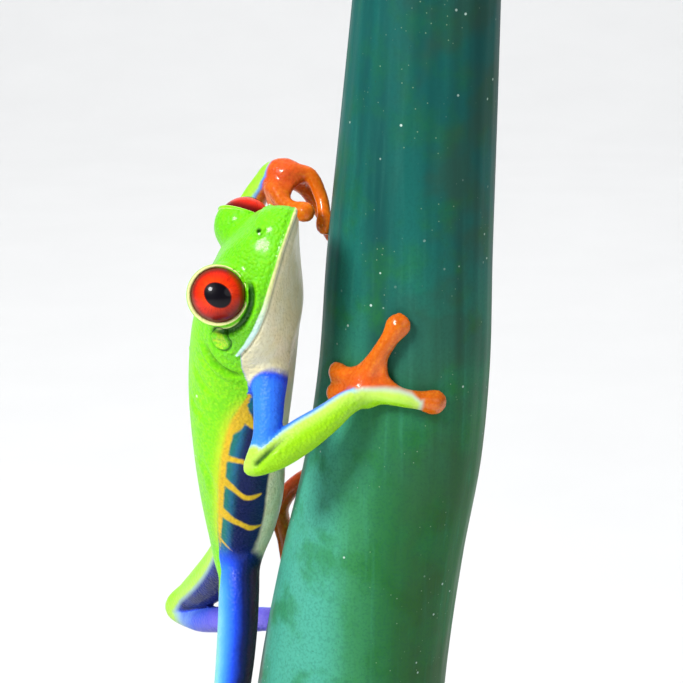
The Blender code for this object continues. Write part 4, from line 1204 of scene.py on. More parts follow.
def make_lid(name, side):
    """The lid's rim: a soft ring round the eye, thick behind and thin towards the snout."""
    out, ahead, up = eye_axes(side)
    turn = np.linspace(0, 2 * math.pi, LID_SPOKES, endpoint=False)
    around = np.cos(turn)[:, None] * ahead + np.sin(turn)[:, None] * up
    past_thin = np.angle(np.exp(1j * (turn - LID_THIN_TURN)))
    thick = LID_TUBE * (1.0 - LID_THINNING * hump(past_thin, LID_THIN_SPREAD))
    points, inner = [], []
    for angle in np.linspace(0, 2 * math.pi, LID_SIDES, endpoint=False):
        reach = LID_LEVEL + LID_PROUD + thick * np.sin(angle) * LID_HEIGHT
        radius = LID_RING + thick * np.cos(angle) * LID_WIDTH
        points.append(eye_centre(side) + reach[:, None] * out + radius[:, None] * around)
        inner.append(np.full(LID_SPOKES, math.cos(angle)))
    faces = ring_faces(LID_SIDES, LID_SPOKES, closed=True).tolist()
    mesh = solid_mesh(name, np.concatenate(points), faces)
    inner = np.concatenate(inner)
    marks = dict.fromkeys(SKIN_MARKS, 0.0)
    marks.update(dict.fromkeys(("cream", "yellow", "dots_and_glint", "ear"), -2.0))
    marks.update(green=inner * 0.6 - 0.1, lip=0.3 - inner * 0.45)
    write_marks(mesh, {name: np.broadcast_to(value, len(inner)) for name, value in marks.items()})
    return show(name, mesh)


# ---- stem and stand

STEM_SPOKES = 128
STEM_RINGS = 220
STEM_FOOT = 22.0
STEM_TOP = 151.0
STEM_EDGE = 0.5        # how far its ends are rounded off
RIBS = 23
RIB_DEPTH = 0.035
# Rings of a cut end: share of the stem's width, and how deep the end dishes there
CUT_RINGS = ((0.94, 0.0), (0.9, 0.35), (0.6, 0.5), (0.3, 0.5))
CUT_DISH = 0.5
BASE_RADIUS = 44.0
BASE_HEIGHT = 8.0
BASE_FOOT_RADIUS = 0.8
BASE_TOP_RADIUS = 1.6
BASE_GROOVE = ((2.0, 0.5), (2.4, 0.9), (2.8, 0.4))     # height, and how far in from the rim
BASE_MIDDLE = 12.0
ROD_RADIUS = 3.0
ROD_PLACE = (1.1, -2.1)
ROD_TOP = 26.0
ROD_SUNK = 0.3         # how deep the rod's collar stands in the base
COLLAR_WIDTH = 1.6
COLLAR_HEIGHT = 1.4
COLLAR_ROUNDING = 0.5


def turned(name, profile, place, spokes=192):
    """A piece turned on an upright axis from a profile of (height, radius), closed at both ends."""
    up, ahead, side = np.array((0, 0, 1.0)), np.array((1.0, 0, 0)), np.array((0, 1.0, 0))
    points = lathe_points(profile, spokes, up, ahead, side, np.array((*place, 0.0)))
    rings = len(profile)
    faces = ring_faces(rings, spokes).tolist()
    faces.append(list(range(spokes))[::-1])
    faces.append([(rings - 1) * spokes + number for number in range(spokes)])
    return show(name, solid_mesh(name, points, faces))


def rounded(corner_height, corner_radius, size, start, stop, steps=8):
    """Profile points of a rounded edge: a quarter of a circle about a centre."""
    bend = np.radians(np.linspace(start, stop, steps))
    return [(corner_height + size * math.sin(a), corner_radius + size * math.cos(a)) for a in bend]


def make_stem(name):
    """The living stem: tapering, gently bowed, faintly ribbed, with both ends cut."""
    heights = np.linspace(STEM_FOOT, STEM_TOP, STEM_RINGS)
    turn = np.linspace(0, 2 * math.pi, STEM_SPOKES, endpoint=False)
    places, radii = stem_at(heights)
    from_end = np.minimum(heights - STEM_FOOT, STEM_TOP - heights)
    radii = radii - STEM_EDGE * np.maximum(1 - from_end / STEM_EDGE, 0) ** 2
    ribs = RIB_DEPTH * np.sin(turn * RIBS + 0.6 * np.sin(turn * 3))
    reach = radii[:, None] - RIB_DEPTH + ribs
    points = np.stack([places[:, None] + reach * np.sin(turn), STEM_DEPTH - reach * np.cos(turn),
                       np.repeat(heights[:, None], STEM_SPOKES, axis=1)], axis=-1)
    points = points.reshape(-1, 3).tolist()
    faces = ring_faces(STEM_RINGS, STEM_SPOKES).tolist()
    sides = len(faces)
    for ring, height, way in ((0, STEM_FOOT, 1), (STEM_RINGS - 1, STEM_TOP, -1)):
        place = places[ring]
        edge = points[ring * STEM_SPOKES:(ring + 1) * STEM_SPOKES]
        loop = list(range(ring * STEM_SPOKES, (ring + 1) * STEM_SPOKES))
        for share, dish in CUT_RINGS:
            fresh = list(range(len(points), len(points) + STEM_SPOKES))
            points += [(place + (x - place) * share, STEM_DEPTH + (y - STEM_DEPTH) * share,
                        height + way * dish) for x, y, _ in edge]
            faces += zip(loop, loop[1:] + loop[:1], fresh[1:] + fresh[:1], fresh)
            loop = fresh
        points.append((place, STEM_DEPTH, height + way * CUT_DISH))
        faces += [(a, b, len(points) - 1) for a, b in zip(loop, loop[1:] + loop[:1])]
    mesh = solid_mesh(name, points, faces)
    mesh.polygons.foreach_set("material_index", [int(n >= sides) for n in range(len(faces))])
    return show(name, mesh)


def make_base(name):
    """The turned base: a rounded foot, a fine groove near it and a rounded top edge."""
    foot = rounded(BASE_FOOT_RADIUS, BASE_RADIUS - 1.4, BASE_FOOT_RADIUS, -90, -20)
    top = rounded(BASE_HEIGHT - BASE_TOP_RADIUS, BASE_RADIUS - BASE_TOP_RADIUS, BASE_TOP_RADIUS,
                  0, 90)
    groove = [(height, BASE_RADIUS - inset) for height, inset in BASE_GROOVE]
    profile = [(0.0, BASE_RADIUS - 1.5), *foot, *groove, *top, (BASE_HEIGHT, BASE_MIDDLE)]
    return turned(name, profile, (0.0, 0.0))


def make_rod(name):
    """The rod, with the round-edged collar at its foot."""
    low = BASE_HEIGHT - ROD_SUNK
    collar = rounded(low + COLLAR_HEIGHT - COLLAR_ROUNDING,
                     ROD_RADIUS + COLLAR_WIDTH - COLLAR_ROUNDING, COLLAR_ROUNDING, 0, 90, 6)
    profile = [(low, ROD_RADIUS + COLLAR_WIDTH), *collar, (low + COLLAR_HEIGHT, ROD_RADIUS + 0.1),
               (low + COLLAR_HEIGHT + 0.15, ROD_RADIUS), (ROD_TOP, ROD_RADIUS)]
    return turned(name, profile, ROD_PLACE, 96)


# ---- materials

class Recipe:
    """Short ways to add nodes to a material or to a node group."""

    def __init__(self, tree):
        self.tree = tree

    def feed(self, socket, value):
        if isinstance(value, bpy.types.NodeSocket):
            self.tree.links.new(value, socket)
        elif socket.type == "RGBA":
            socket.default_value = (*value[:3], 1.0)
        else:
            socket.default_value = value

    def fill(self, sockets, **values):
        """Feed values to sockets by their titles, with _ for a space."""
        for title, value in values.items():
            self.feed(sockets[title.replace("_", " ")], value)

    def node(self, kind, inputs=None, **settings):
        made = self.tree.nodes.new("ShaderNode" + kind)
        for name, value in settings.items():
            setattr(made, name, value)
        for name, value in (inputs or {}).items():
            self.feed(made.inputs[name], value)
        return made

    def place(self, per_metre=1000.0, stretch=(1.0, 1.0, 1.0)):
        """The object's own coordinates, in millimetres unless told otherwise."""
        own = self.node("TexCoord").outputs["Object"]
        return self.vector("MULTIPLY", own, Vector(stretch) * per_metre)

    def value(self, name):
        return self.node("Attribute", attribute_name=name).outputs["Fac"]

    def vector(self, operation, first, second=(0.0, 0.0, 0.0), result="Vector"):
        inputs = {0: first, 1: second}
        return self.node("VectorMath", inputs, operation=operation).outputs[result]

    def math(self, operation, first, second):
        return self.node("Math", {0: first, 1: second}, operation=operation).outputs[0]

    def plus(self, first, second):
        return self.math("ADD", first, second)

    def minus(self, first, second):
        return self.math("SUBTRACT", first, second)

    def times(self, first, *factors):
        for factor in factors:
            first = self.math("MULTIPLY", first, factor)
        return first

    def over(self, first, second):
        return self.math("DIVIDE", first, second)

    def most(self, first, second):
        return self.math("MAXIMUM", first, second)

    def step(self, value, low, high, start=0.0, stop=1.0):
        """A smooth rise from start to stop while the value goes from low to high."""
        inputs = {"Value": value, "From Min": low, "From Max": high,
                  "To Min": start, "To Max": stop}
        return self.node("MapRange", inputs, interpolation_type="SMOOTHSTEP").outputs["Result"]

    def mix(self, share, first, second):
        return self.node("Mix", {0: share, 6: first, 7: second}, data_type="RGBA").outputs[2]

    def waves(self, place, scale, detail=2.0, roughness=0.5):
        inputs = {"Vector": place, "Scale": scale, "Detail": detail, "Roughness": roughness}
        return self.node("TexNoise", inputs).outputs["Fac"]

    def noise(self, place, size, detail=2.0, roughness=0.5):
        """Soft noise whose blotches are about that many millimetres across."""
        return self.waves(place, 1.0 / size, detail, roughness)

    def spots(self, place, scale):
        """Distance to the nearest of many scattered points."""
        inputs = {"Vector": place, "Scale": scale}
        return self.node("TexVoronoi", inputs).outputs["Distance"]

    def bump(self, height, strength, relief):
        """Normals for a height whose full rise is so many metres of relief."""
        inputs = {"Height": height, "Strength": strength, "Distance": relief}
        return self.node("Bump", inputs).outputs["Normal"]

    def ramp(self, value, stops):
        made = self.node("ValToRGB", {"Fac": value})
        band = made.color_ramp
        for number, (place, colour) in enumerate(stops):
            stop = band.elements[number] if number < 2 else band.elements.new(place)
            stop.position = place
            stop.color = (*colour, 1.0)
        return made.outputs["Color"]

    def group(self, tree, **inputs):
        made = self.node("Group", node_tree=tree)
        self.fill(made.inputs, **inputs)
        return made.outputs


def node_group(name, inputs, outputs):
    """An empty node group with named sockets, and the recipe, inputs and output node in it."""
    tree = bpy.data.node_groups.new(name, "ShaderNodeTree")
    for title, default, low, high in inputs:
        socket = tree.interface.new_socket(title, in_out="INPUT", socket_type="NodeSocketFloat")
        socket.default_value, socket.min_value, socket.max_value = default, low, high
    for title in outputs:
        tree.interface.new_socket(title, in_out="OUTPUT", socket_type="NodeSocketFloat")
    recipe = Recipe(tree)
    entry = tree.nodes.new("NodeGroupInput").outputs
    leave = tree.nodes.new("NodeGroupOutput").inputs
    return tree, recipe, entry, leave


def ragged_edge_group():
    """A mask from a depth in millimetres whose edge wavers a little and is soft."""
    tree, recipe, entry, leave = node_group(
        "Ragged edge", (("Depth", 0.0, -10, 10), ("Softness", 0.1, 0, 5), ("Waver", 0.1, 0, 5),
                        ("Waver Size", 1.0, 0.01, 20)), ("Mask",))
    noise = recipe.waves(recipe.place(), recipe.over(1.0, entry["Waver Size"]), 3.0)
    swing = recipe.times(recipe.minus(noise, 0.5), recipe.times(entry["Waver"], 2.0))
    depth = recipe.plus(entry["Depth"], swing)
    low = recipe.times(entry["Softness"], -1.0)
    recipe.feed(leave["Mask"], recipe.step(depth, low, entry["Softness"]))
    return tree


def granule_group():
    """Fine rounded granules, as a height and as painted light and shade, lighter on their tops and
    darker between them.
    """
    tree, recipe, entry, leave = node_group(
        "Granules", (("Size", 0.4, 0.01, 20), ("Roundness", 1.0, 0, 4)), ("Height", "Tone"))
    place = recipe.place()
    scale = recipe.over(1.0, entry["Size"])
    cells = recipe.node("TexVoronoi", {"Vector": place, "Scale": scale, "Smoothness": 0.5},
                        feature="SMOOTH_F1").outputs["Distance"]
    top = recipe.minus(1.0, recipe.times(cells, entry["Roundness"]))
    fine = recipe.waves(place, recipe.times(scale, 2.4))
    recipe.fill(leave, Height=recipe.plus(recipe.times(top, 0.75), recipe.times(fine, 0.25)),
                Tone=recipe.step(top, 0.2, 0.9))
    return tree


def streak_group():
    """Long streaks along the upright axis: a fine value and a broad one."""
    tree, recipe, entry, leave = node_group(
        "Streaks", (("Width", 0.3, 0.01, 50), ("Length", 8.0, 0.01, 500)), ("Fine", "Broad"))
    across = recipe.over(1.0, entry["Width"])
    down = recipe.over(1.0, entry["Length"])
    scale = recipe.node("CombineXYZ", {0: across, 1: across, 2: down}).outputs[0]
    place = recipe.vector("MULTIPLY", recipe.place(), scale)
    recipe.fill(leave, Fine=recipe.waves(place, 1.0, 4.0), Broad=recipe.waves(place, 0.22))
    return tree


GROUPS = {"Ragged edge": ragged_edge_group, "Granules": granule_group, "Streaks": streak_group}


def shared(name):
    """A node group, built the first time that it is asked for."""
    return bpy.data.node_groups.get(name) or GROUPS[name]()


def new_material(name, **sockets):
    """A material with its Principled shader; plain values are set on the shader's own sockets."""
    material = bpy.data.materials.new(name)
    material.use_nodes = True
    recipe = Recipe(material.node_tree)
    shader = material.node_tree.nodes["Principled BSDF"].inputs
    recipe.fill(shader, **sockets)
    return material, recipe, shader


def tint(colour, *shares):
    """A colour whose red, green and blue are each multiplied, up to full."""
    return tuple(min(value * share, 1.0) for value, share in zip(colour, shares))


# The skin under the green, from its blueness: pale aqua, sky blue, the set blue, navy and violet.
# Its dark end is partly painted shade, and the brown-violet is painted shade lit by reflected light
AQUA = (0.26, 0.74, 0.62)
BRIGHT_BLUES = ((0.1, (0.13, 0.50, 0.84)), (0.2, (0.06, 0.34, 0.92)), (0.34, (0.03, 0.20, 0.95)))
NAVY_SHARES = (0.2, 0.16, 0.16)
MIDNIGHT = (0.004, 0.010, 0.06)
BROWN_VIOLET = (0.06, 0.022, 0.05)
TEAL = (0.012, 0.21, 0.16)
DEEP_LILAC, PALE_LILAC = (0.10, 0.07, 0.62), (0.34, 0.26, 0.86)
AMBER = (0.92, 0.34, 0.01)
FLUSH_RED = (0.80, 0.05, 0.02)
DULL_CREAM, CLEAR_CREAM = (0.84, 0.76, 0.46), (0.90, 0.85, 0.60)
PALE_RIM = (0.58, 0.86, 0.70)
# The green and what lies on it
LEAF_SHARES = (0.45, 0.75, 1.5)
LIME = (0.55, 0.92, 0.01)
RIM_GREEN = (0.46, 0.82, 0.01)
SUNNY_GREEN = (0.66, 0.90, 0.16)
FRINGE_YELLOW = (0.68, 0.80, 0.02)
EAR_YELLOW = (0.62, 0.78, 0.03)
LIP_YELLOW, LIP_MINT = (0.84, 0.86, 0.36), (0.62, 0.88, 0.80)
# White of the back's dots, and of the painted highlight on the nostril's rim
DOT_AND_GLINT_WHITE = (0.86, 0.92, 0.80)
# Painted shade in folds and grooves: along the lip, in the nostril, round the ear, in the neck and
# jaw folds, round the eye and at the elbow
CREASE_SHADE_GREEN = (0.009, 0.09, 0.002)


def frog_skin(colours):
    material, recipe, shader = new_material("Frog skin", Coat_Roughness=0.12,
                                            Specular_IOR_Level=0.2)
    step, mix, times = recipe.step, recipe.mix, recipe.times
    mark = {name: recipe.value(name) for name in SKIN_MARKS}
    place = recipe.place()
    edge = shared("Ragged edge")

    def mask(name, softness, waver, size):
        return recipe.group(edge, Depth=mark[name], Softness=softness, Waver=waver,
                            Waver_Size=size)["Mask"]

    blotch = recipe.noise(place, 2.2, 3.0)
    fine = recipe.noise(place, 0.5, 3.0)
    granules = recipe.group(shared("Granules"), Size=0.42, Roundness=1.1)

    blueness = recipe.plus(mark["blue"], times(recipe.minus(blotch, 0.5), 0.14))
    colour = recipe.ramp(blueness, ((0.0, AQUA), (1.0, BROWN_VIOLET), *BRIGHT_BLUES,
                                    (0.5, colours.blue), (0.74, tint(colours.blue, *NAVY_SHARES)),
                                    (0.88, MIDNIGHT)))
    colour = mix(mark["teal"], colour, TEAL)
    colour = mix(times(mark["lilac"], 0.9), colour, mix(blotch, DEEP_LILAC, PALE_LILAC))
    warm = mix(step(blotch, 0.35, 0.65), tint(colours.orange, 0.8, 0.8, 0.8), colours.orange)
    warm = mix(step(fine, 0.45, 0.8, 0.0, 0.5), warm, AMBER)
    warm = mix(times(mark["flush"], 0.75), warm, FLUSH_RED)
    colour = mix(step(mark["orange"], 0.25, 0.75), colour, warm)
    cream = mix(step(blotch, 0.3, 0.7), DULL_CREAM, CLEAR_CREAM)
    colour = mix(mask("cream", 0.4, 0.12, 1.2), colour, cream)
    yellow = mix(step(fine, 0.3, 0.7), tint(colours.yellow, 0.85, 0.85, 0.85), colours.yellow)
    colour = mix(mask("yellow", 0.2, 0.2, 1.1), colour, yellow)
    pale = times(step(mark["green"], -0.8, -0.1, 0.0, 0.8), mark["rim"])
    colour = mix(pale, colour, PALE_RIM)

    leaf = tint(colours.green, *LEAF_SHARES)
    lime = mix(step(blotch, 0.25, 0.75, 0.0, 0.4), colours.green, leaf)
    # painted shade between the granules, where the green darkens towards leaf
    lime = mix(step(granules["Tone"], 0.0, 1.0, 0.5, 0.0), lime, leaf)
    lime = mix(step(fine, 0.45, 0.75, 0.0, 0.35), lime, LIME)
    lime = mix(times(mark["cheek"], 0.6), lime, leaf)
    lime = mix(times(mark["rim"], 0.6), lime, RIM_GREEN)
    sunny = times(step(mark["green"], 1.8, 0.1, 0.0, 0.75), mark["rim"])
    lime = mix(sunny, lime, SUNNY_GREEN)
    lime = mix(times(mark["fringe"], 0.75), lime, FRINGE_YELLOW)
    soft = recipe.most(times(mark["fringe"], 0.45), recipe.plus(times(mark["rim"], 0.26), 0.12))
    colour = mix(mask("green", soft, 0.12, 0.8), colour, lime)
    ear_tone = mix(step(fine, 0.38, 0.6, 0.1, 0.75), leaf, EAR_YELLOW)
    colour = mix(step(mark["ear"], 0.0, 0.25, 0.0, 0.85), colour, ear_tone)
    lip = mix(mark["lip_tone"], LIP_YELLOW, LIP_MINT)
    colour = mix(mask("lip", 0.09, 0.05, 0.8), colour, lip)
    colour = mix(mask("dots_and_glint", 0.07, 0.04, 0.5), colour, DOT_AND_GLINT_WHITE)
    # shade painted into the creases
    colour = mix(step(mark["crease_shade"], 0.0, 1.0, 0.0, 0.94), colour, CREASE_SHADE_GREEN)

    wet = recipe.most(times(mark["cheek"], 0.3), times(mark["flush"], 0.9))
    wet = recipe.most(wet, step(mark["orange"], 0.2, 0.8, 0.08, 0.5))
    rough = recipe.minus(step(fine, 0.2, 0.8, 0.34, 0.5), times(mark["orange"], 0.12))
    plain = recipe.most(mark["flush"], step(mark["orange"], 0.2, 0.8, 1.0, 0.25))
    belly = recipe.group(shared("Granules"), Size=0.7, Roundness=0.9)["Height"]
    grain = recipe.plus(times(granules["Height"], plain),
                        times(belly, 1.3, step(mark["cream"], -0.3, 0.5)))
    coarser = times(mark["cheek"], step(mark["green"], 0.0, 0.5))
    grain = times(grain, recipe.plus(coarser, 1.0))
    recipe.fill(shader, Base_Color=colour, Coat_Weight=wet, Roughness=rough,
                Normal=recipe.bump(grain, 0.75, 0.00016))
    return material


PUPIL = (1.38, 1.72)        # half its width and half its height, in millimetres
PUPIL_PLACE = (0.0, -0.1)
PUPIL_TILT = 20.0
# Painted shade: the iris is painted darker towards one side and towards its edge
IRIS_SHADE = (-0.75, -0.66, 0.0)    # the iris is darker towards this side
IRIS_FIBRES = (7.0, 7.0, 0.0)       # how densely they lie round the pupil
IRIS_SHADOW = (0.10, 0.001, 0.001)
IRIS_EDGE_SHADOW = (0.11, 0.001, 0.001)
PUPIL_RIM = (0.06, 0.0, 0.0)
PUPIL_BLACK = (0.002, 0.001, 0.004)
GLOBE_BACK = (0.05, 0.002, 0.002)


def frog_eye(colours, side):
    material, recipe, shader = new_material("Red eye " + ("left" if side > 0 else "right"),
                                            Coat_Weight=0.65, Coat_Roughness=0.02, Coat_IOR=1.336,
                                            Roughness=0.4, Specular_IOR_Level=0.1)
    step, mix, times, vector = recipe.step, recipe.mix, recipe.times, recipe.vector
    iris = recipe.node("Attribute", attribute_name="iris").outputs["Vector"]
    flat = vector("MULTIPLY", iris, (1.0, 1.0, 0.0))
    reach = vector("LENGTH", flat, result="Value")
    away = vector("SUBTRACT", flat, (*PUPIL_PLACE, 0.0))
    away = recipe.node("VectorRotate", {"Vector": away, "Angle": math.radians(PUPIL_TILT)},
                       rotation_type="Z_AXIS").outputs[0]
    away = vector("MULTIPLY", away, (1 / PUPIL[0], 1 / PUPIL[1], 0.0))
    from_pupil = vector("LENGTH", away, result="Value")
    around = vector("MULTIPLY", vector("NORMALIZE", flat), IRIS_FIBRES)
    outward = recipe.node("CombineXYZ", {2: times(reach, 0.9)}).outputs[0]
    fibres = recipe.waves(vector("ADD", around, outward), 1.6, 4.0, 0.6)
    ember = tint(colours.iris, 0.7, 0.5, 0.6)
    glow = tint(colours.iris, 1.2, 3.0, 1.0)
    colour = mix(step(fibres, 0.25, 0.6), ember, colours.iris)
    near_pupil = times(step(from_pupil, 1.9, 1.0), step(fibres, 0.3, 0.62, 0.35, 1.0))
    colour = mix(near_pupil, colour, glow)
    shade = vector("DOT_PRODUCT", flat, IRIS_SHADE, "Value")
    # painted shade on one side of the iris and round its edge
    colour = mix(step(shade, 0.2, 3.2, 0.0, 0.8), colour, IRIS_SHADOW)
    colour = mix(step(reach, 2.45, 3.3), colour, IRIS_EDGE_SHADOW)
    colour = mix(step(from_pupil, 1.10, 1.02, 0.0, 0.8), colour, PUPIL_RIM)
    colour = mix(step(from_pupil, 1.03, 0.97), colour, PUPIL_BLACK)
    forward = recipe.node("SeparateXYZ", {0: iris}).outputs[2]
    colour = mix(step(forward, 0.6, 0.2), colour, GLOBE_BACK)
    recipe.fill(shader, Base_Color=colour, Normal=recipe.bump(fibres, 0.15, 0.00006))
    return material


STEM_LEAF = (0.02, 0.20, 0.02)
STEM_GRASS = (0.045, 0.27, 0.055)
STEM_SHADE = (0.012, 0.12, 0.02)
# Dark blotches painted as shade on the stem's right side
STEM_RIGHT_SHADE = (0.04, 0.06, 0.02)
STEM_CRUMB = (0.30, 0.48, 0.30)
STEM_SPECK = (0.50, 0.68, 0.60)
STEM_FLECK = (0.02, 0.06, 0.02)


def plant_stem(colours):
    material, recipe, shader = new_material("Waxy stem", Coat_Weight=0.04, Coat_Roughness=0.35,
                                            Specular_IOR_Level=0.12)
    step, mix, times = recipe.step, recipe.mix, recipe.times
    streaks = recipe.group(shared("Streaks"), Width=0.9, Length=30.0)
    place = recipe.place()
    cloud = recipe.noise(place, 9.0, 3.0)
    mottle = recipe.noise(place, 5.0, 4.0, 0.55)
    dust = recipe.noise(place, 0.35)
    parts = recipe.node("SeparateXYZ", {0: place}).outputs
    height, sideways = parts[2], parts[0]
    low = step(recipe.plus(height, times(cloud, 30.0)), 132.0, 92.0)
    # share towards the left: the stem is painted lighter on its left and darker on its right, as
    # light and shade
    left = step(sideways, 14.0, -4.0)
    pale = tint(colours.stem, 8.0, 2.7, 2.5)
    dark = tint(colours.stem, 0.5, 0.45, 0.5)
    dusky = tint(colours.stem, 0.3, 0.42, 0.55)
    colour = mix(step(streaks["Broad"], 0.32, 0.62), dark, colours.stem)
    # paler low down, as the stem's own tone, and more so on the left, as painted light
    colour = mix(times(low, step(left, 0.0, 1.0, 0.25, 0.85)), colour, pale)
    colour = mix(times(step(left, 0.98, 0.62, 0.0, 0.7), low), colour, STEM_GRASS)
    colour = mix(step(mottle, 0.46, 0.72, 0.0, 0.6), colour, STEM_LEAF)
    colour = mix(times(step(left, 0.85, 0.15, 0.0, 0.7), low), colour, STEM_SHADE)
    colour = mix(step(streaks["Fine"], 0.5, 0.8, 0.0, 0.14), colour, pale)
    colour = mix(step(dust, 0.4, 0.7, 0.0, 0.25), colour, dark)
    colour = mix(step(height, 96.0, 138.0, 0.0, 0.6), colour, dusky)
    # painted shade in blotches on the right side, away from the light
    shade_right = times(step(left, 0.35, 0.0), step(cloud, 0.4, 0.6), 0.35)
    colour = mix(shade_right, colour, STEM_RIGHT_SHADE)
    rare = step(mottle, 0.42, 0.58)
    crumbs = step(recipe.spots(place, 1.0), 0.1, 0.06, 0.0, 0.6)
    crumbs = times(crumbs, times(rare, step(left, 0.7, 0.3)))
    colour = mix(crumbs, colour, STEM_CRUMB)
    specks = step(recipe.spots(place, 0.42), 0.085, 0.05)
    colour = mix(times(specks, rare), colour, STEM_SPECK)
    flecks = step(recipe.spots(place, 0.75), 0.07, 0.04, 0.0, 0.5)
    colour = mix(flecks, colour, STEM_FLECK)
    relief = recipe.plus(streaks["Fine"], times(dust, 0.3))
    recipe.fill(shader, Base_Color=colour, Roughness=step(streaks["Fine"], 0.3, 0.7, 0.4, 0.55),
                Normal=recipe.bump(relief, 0.3, 0.0001))
    return material


PITH_GREEN, PITH_STRAW, PORE_GREEN = (0.42, 0.50, 0.22), (0.62, 0.64, 0.36), (0.16, 0.22, 0.07)


def cut_stem():
    material, recipe, shader = new_material("Cut stem", Specular_IOR_Level=0.3)
    place = recipe.place()
    pores = recipe.spots(place, 1.7)
    colour = recipe.mix(recipe.noise(place, 4.0, 3.0), PITH_GREEN, PITH_STRAW)
    colour = recipe.mix(recipe.step(pores, 0.18, 0.08, 0.0, 0.7), colour, PORE_GREEN)
    recipe.fill(shader, Base_Color=colour, Roughness=recipe.step(pores, 0.1, 0.4, 0.75, 0.5),
                Normal=recipe.bump(pores, 0.4, 0.0001))
    return material


WOOD_STRETCH = (0.09, 1.6, 1.6)     # the grain of the base runs across it, sideways


def stained_base(colours):
    material, recipe, shader = new_material("Stained base", Coat_Weight=0.25, Coat_Roughness=0.2)
    grain = recipe.waves(recipe.place(stretch=WOOD_STRETCH), 0.8, 5.0)
    light = tint(colours.base, 2.2, 2.2, 2.2)
    recipe.fill(shader, Base_Color=recipe.mix(recipe.step(grain, 0.4, 0.7), colours.base, light),
                Roughness=recipe.step(grain, 0.3, 0.7, 0.32, 0.5),
                Normal=recipe.bump(grain, 0.25, 0.00008))
    return material


def drawn_rod(colours):
    material, recipe, shader = new_material("Drawn rod", Metallic=1.0)
    streak = recipe.group(shared("Streaks"), Width=0.12, Length=30.0)["Fine"]
    dull = tint(colours.rod, 0.75, 0.75, 0.75)
    recipe.fill(shader, Base_Color=recipe.mix(streak, dull, colours.rod),
                Roughness=recipe.step(streak, 0.3, 0.7, 0.18, 0.34))
    return material


FLOOR_GREY, FLOOR_WHITE = (0.78, 0.78, 0.78), (0.82, 0.82, 0.82)


def pale_floor():
    material, recipe, shader = new_material("Pale floor", Roughness=0.7)
    cloud = recipe.noise(recipe.place(), 40.0)
    recipe.fill(shader, Base_Color=recipe.mix(cloud, FLOOR_GREY, FLOOR_WHITE))
    return material


# ---- what a user would change

def colour_property(name, about, default):
    return FloatVectorProperty(name=name, description=about, default=default, size=3,
                               subtype="COLOR", min=0.0, max=1.0)


class FrogColours(bpy.types.PropertyGroup):
    green: colour_property("Back", "Green of the back and head", (0.29, 0.86, 0.002))
    blue: colour_property("Sides", "Blue of the sides and limbs", (0.012, 0.075, 0.80))
    yellow: colour_property("Bars", "Yellow bars of the sides", (0.88, 0.56, 0.02))
    orange: colour_property("Hands and feet", "Orange of the hands and feet", (0.80, 0.15, 0.002))
    iris: colour_property("Iris", "Red of the eyes", (0.82, 0.018, 0.001))
    stem: colour_property("Stem", "Blue-green of the plant stem", (0.012, 0.18, 0.14))
    base: colour_property("Base", "Stain of the turned base", (0.012, 0.011, 0.011))
    rod: colour_property("Rod", "Metal of the rod", (0.62, 0.62, 0.64))


class StudioSettings(bpy.types.PropertyGroup):
    key_power: FloatProperty(name="Key light", description="Power of the main soft light",
                             default=3.0, min=0.0, unit="POWER")
    fill_power: FloatProperty(name="Fill light", description="Power of the weaker soft light",
                              default=0.7, min=0.0, unit="POWER")
    backdrop_power: FloatProperty(name="Backdrop light", description="Power of the backdrop's light",
                                  default=14.0, min=0.0, unit="POWER")
    floor_size: FloatProperty(name="Floor", description="Width of the floor",
                              default=3.0, min=0.5, unit="LENGTH")


# ---- operators

def finish_piece(piece, slot_name, replaced, *materials):
    """Give a piece its materials and body, and hide the solids that it stands for; its slot name is
    not used.
    """
    for material in materials:
        piece.data.materials.append(material)
    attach(piece, ROOT)
    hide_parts(*replaced)


class TREEFROG_OT_skin(bpy.types.Operator):
    """Grow the frog's skin over its body, limbs and webs, and mark it"""
    bl_idname = "treefrog.skin"
    bl_label = "Skin"

    def execute(self, context):
        skin = make_skin("skin")
        finish_piece(skin, "skin_green", FLESH, frog_skin(context.scene.treefrog_colours))
        return {"FINISHED"}


class TREEFROG_OT_eyes(bpy.types.Operator):
    """Build both eyeballs and the rims of their lids"""
    bl_idname = "treefrog.eyes"
    bl_label = "Eyes and lids"

    def execute(self, context):
        colours = context.scene.treefrog_colours
        skin = bpy.data.materials.get("Frog skin") or frog_skin(colours)
        for word, letter, side in (("left", "L", 1), ("right", "R", -1)):
            globe = make_globe("eye_" + word, side)
            finish_piece(globe, "eye_red", ["eye_" + letter], frog_eye(colours, side))
            finish_piece(make_lid("lid_" + word, side), "skin_green", [], skin)
        return {"FINISHED"}


class TREEFROG_OT_stem(bpy.types.Operator):
    """Build the cut plant stem"""
    bl_idname = "treefrog.stem"
    bl_label = "Stem"

    def execute(self, context):
        colours = context.scene.treefrog_colours
        finish_piece(make_stem("plant_stem"), "stem", ["stem"], plant_stem(colours), cut_stem())
        return {"FINISHED"}


class TREEFROG_OT_stand(bpy.types.Operator):
    """Turn the base, and the rod with its collar"""
    bl_idname = "treefrog.stand"
    bl_label = "Stand"

    def execute(self, context):
        colours = context.scene.treefrog_colours
        finish_piece(make_base("turned_base"), "stand_base", ["stand_base"], stained_base(colours))
        finish_piece(make_rod("rod"), "stand_rod", ["stand_rod"], drawn_rod(colours))
        return {"FINISHED"}


CAMERA_TARGET = (0.002, -0.014, 0.106)
CAMERA_DISTANCE = 0.3
CAMERA_RISE = 14.0
CAMERA_LENS = 126.5
FLOOR_CURVE = 0.6
FLOOR_STEPS = 24
SKY_COLOUR = (0.9, 0.95, 1.0, 1.0)
SKY_LIGHT, SKY_SEEN = 0.22, 0.82     # the room lights the model less than it shows behind it
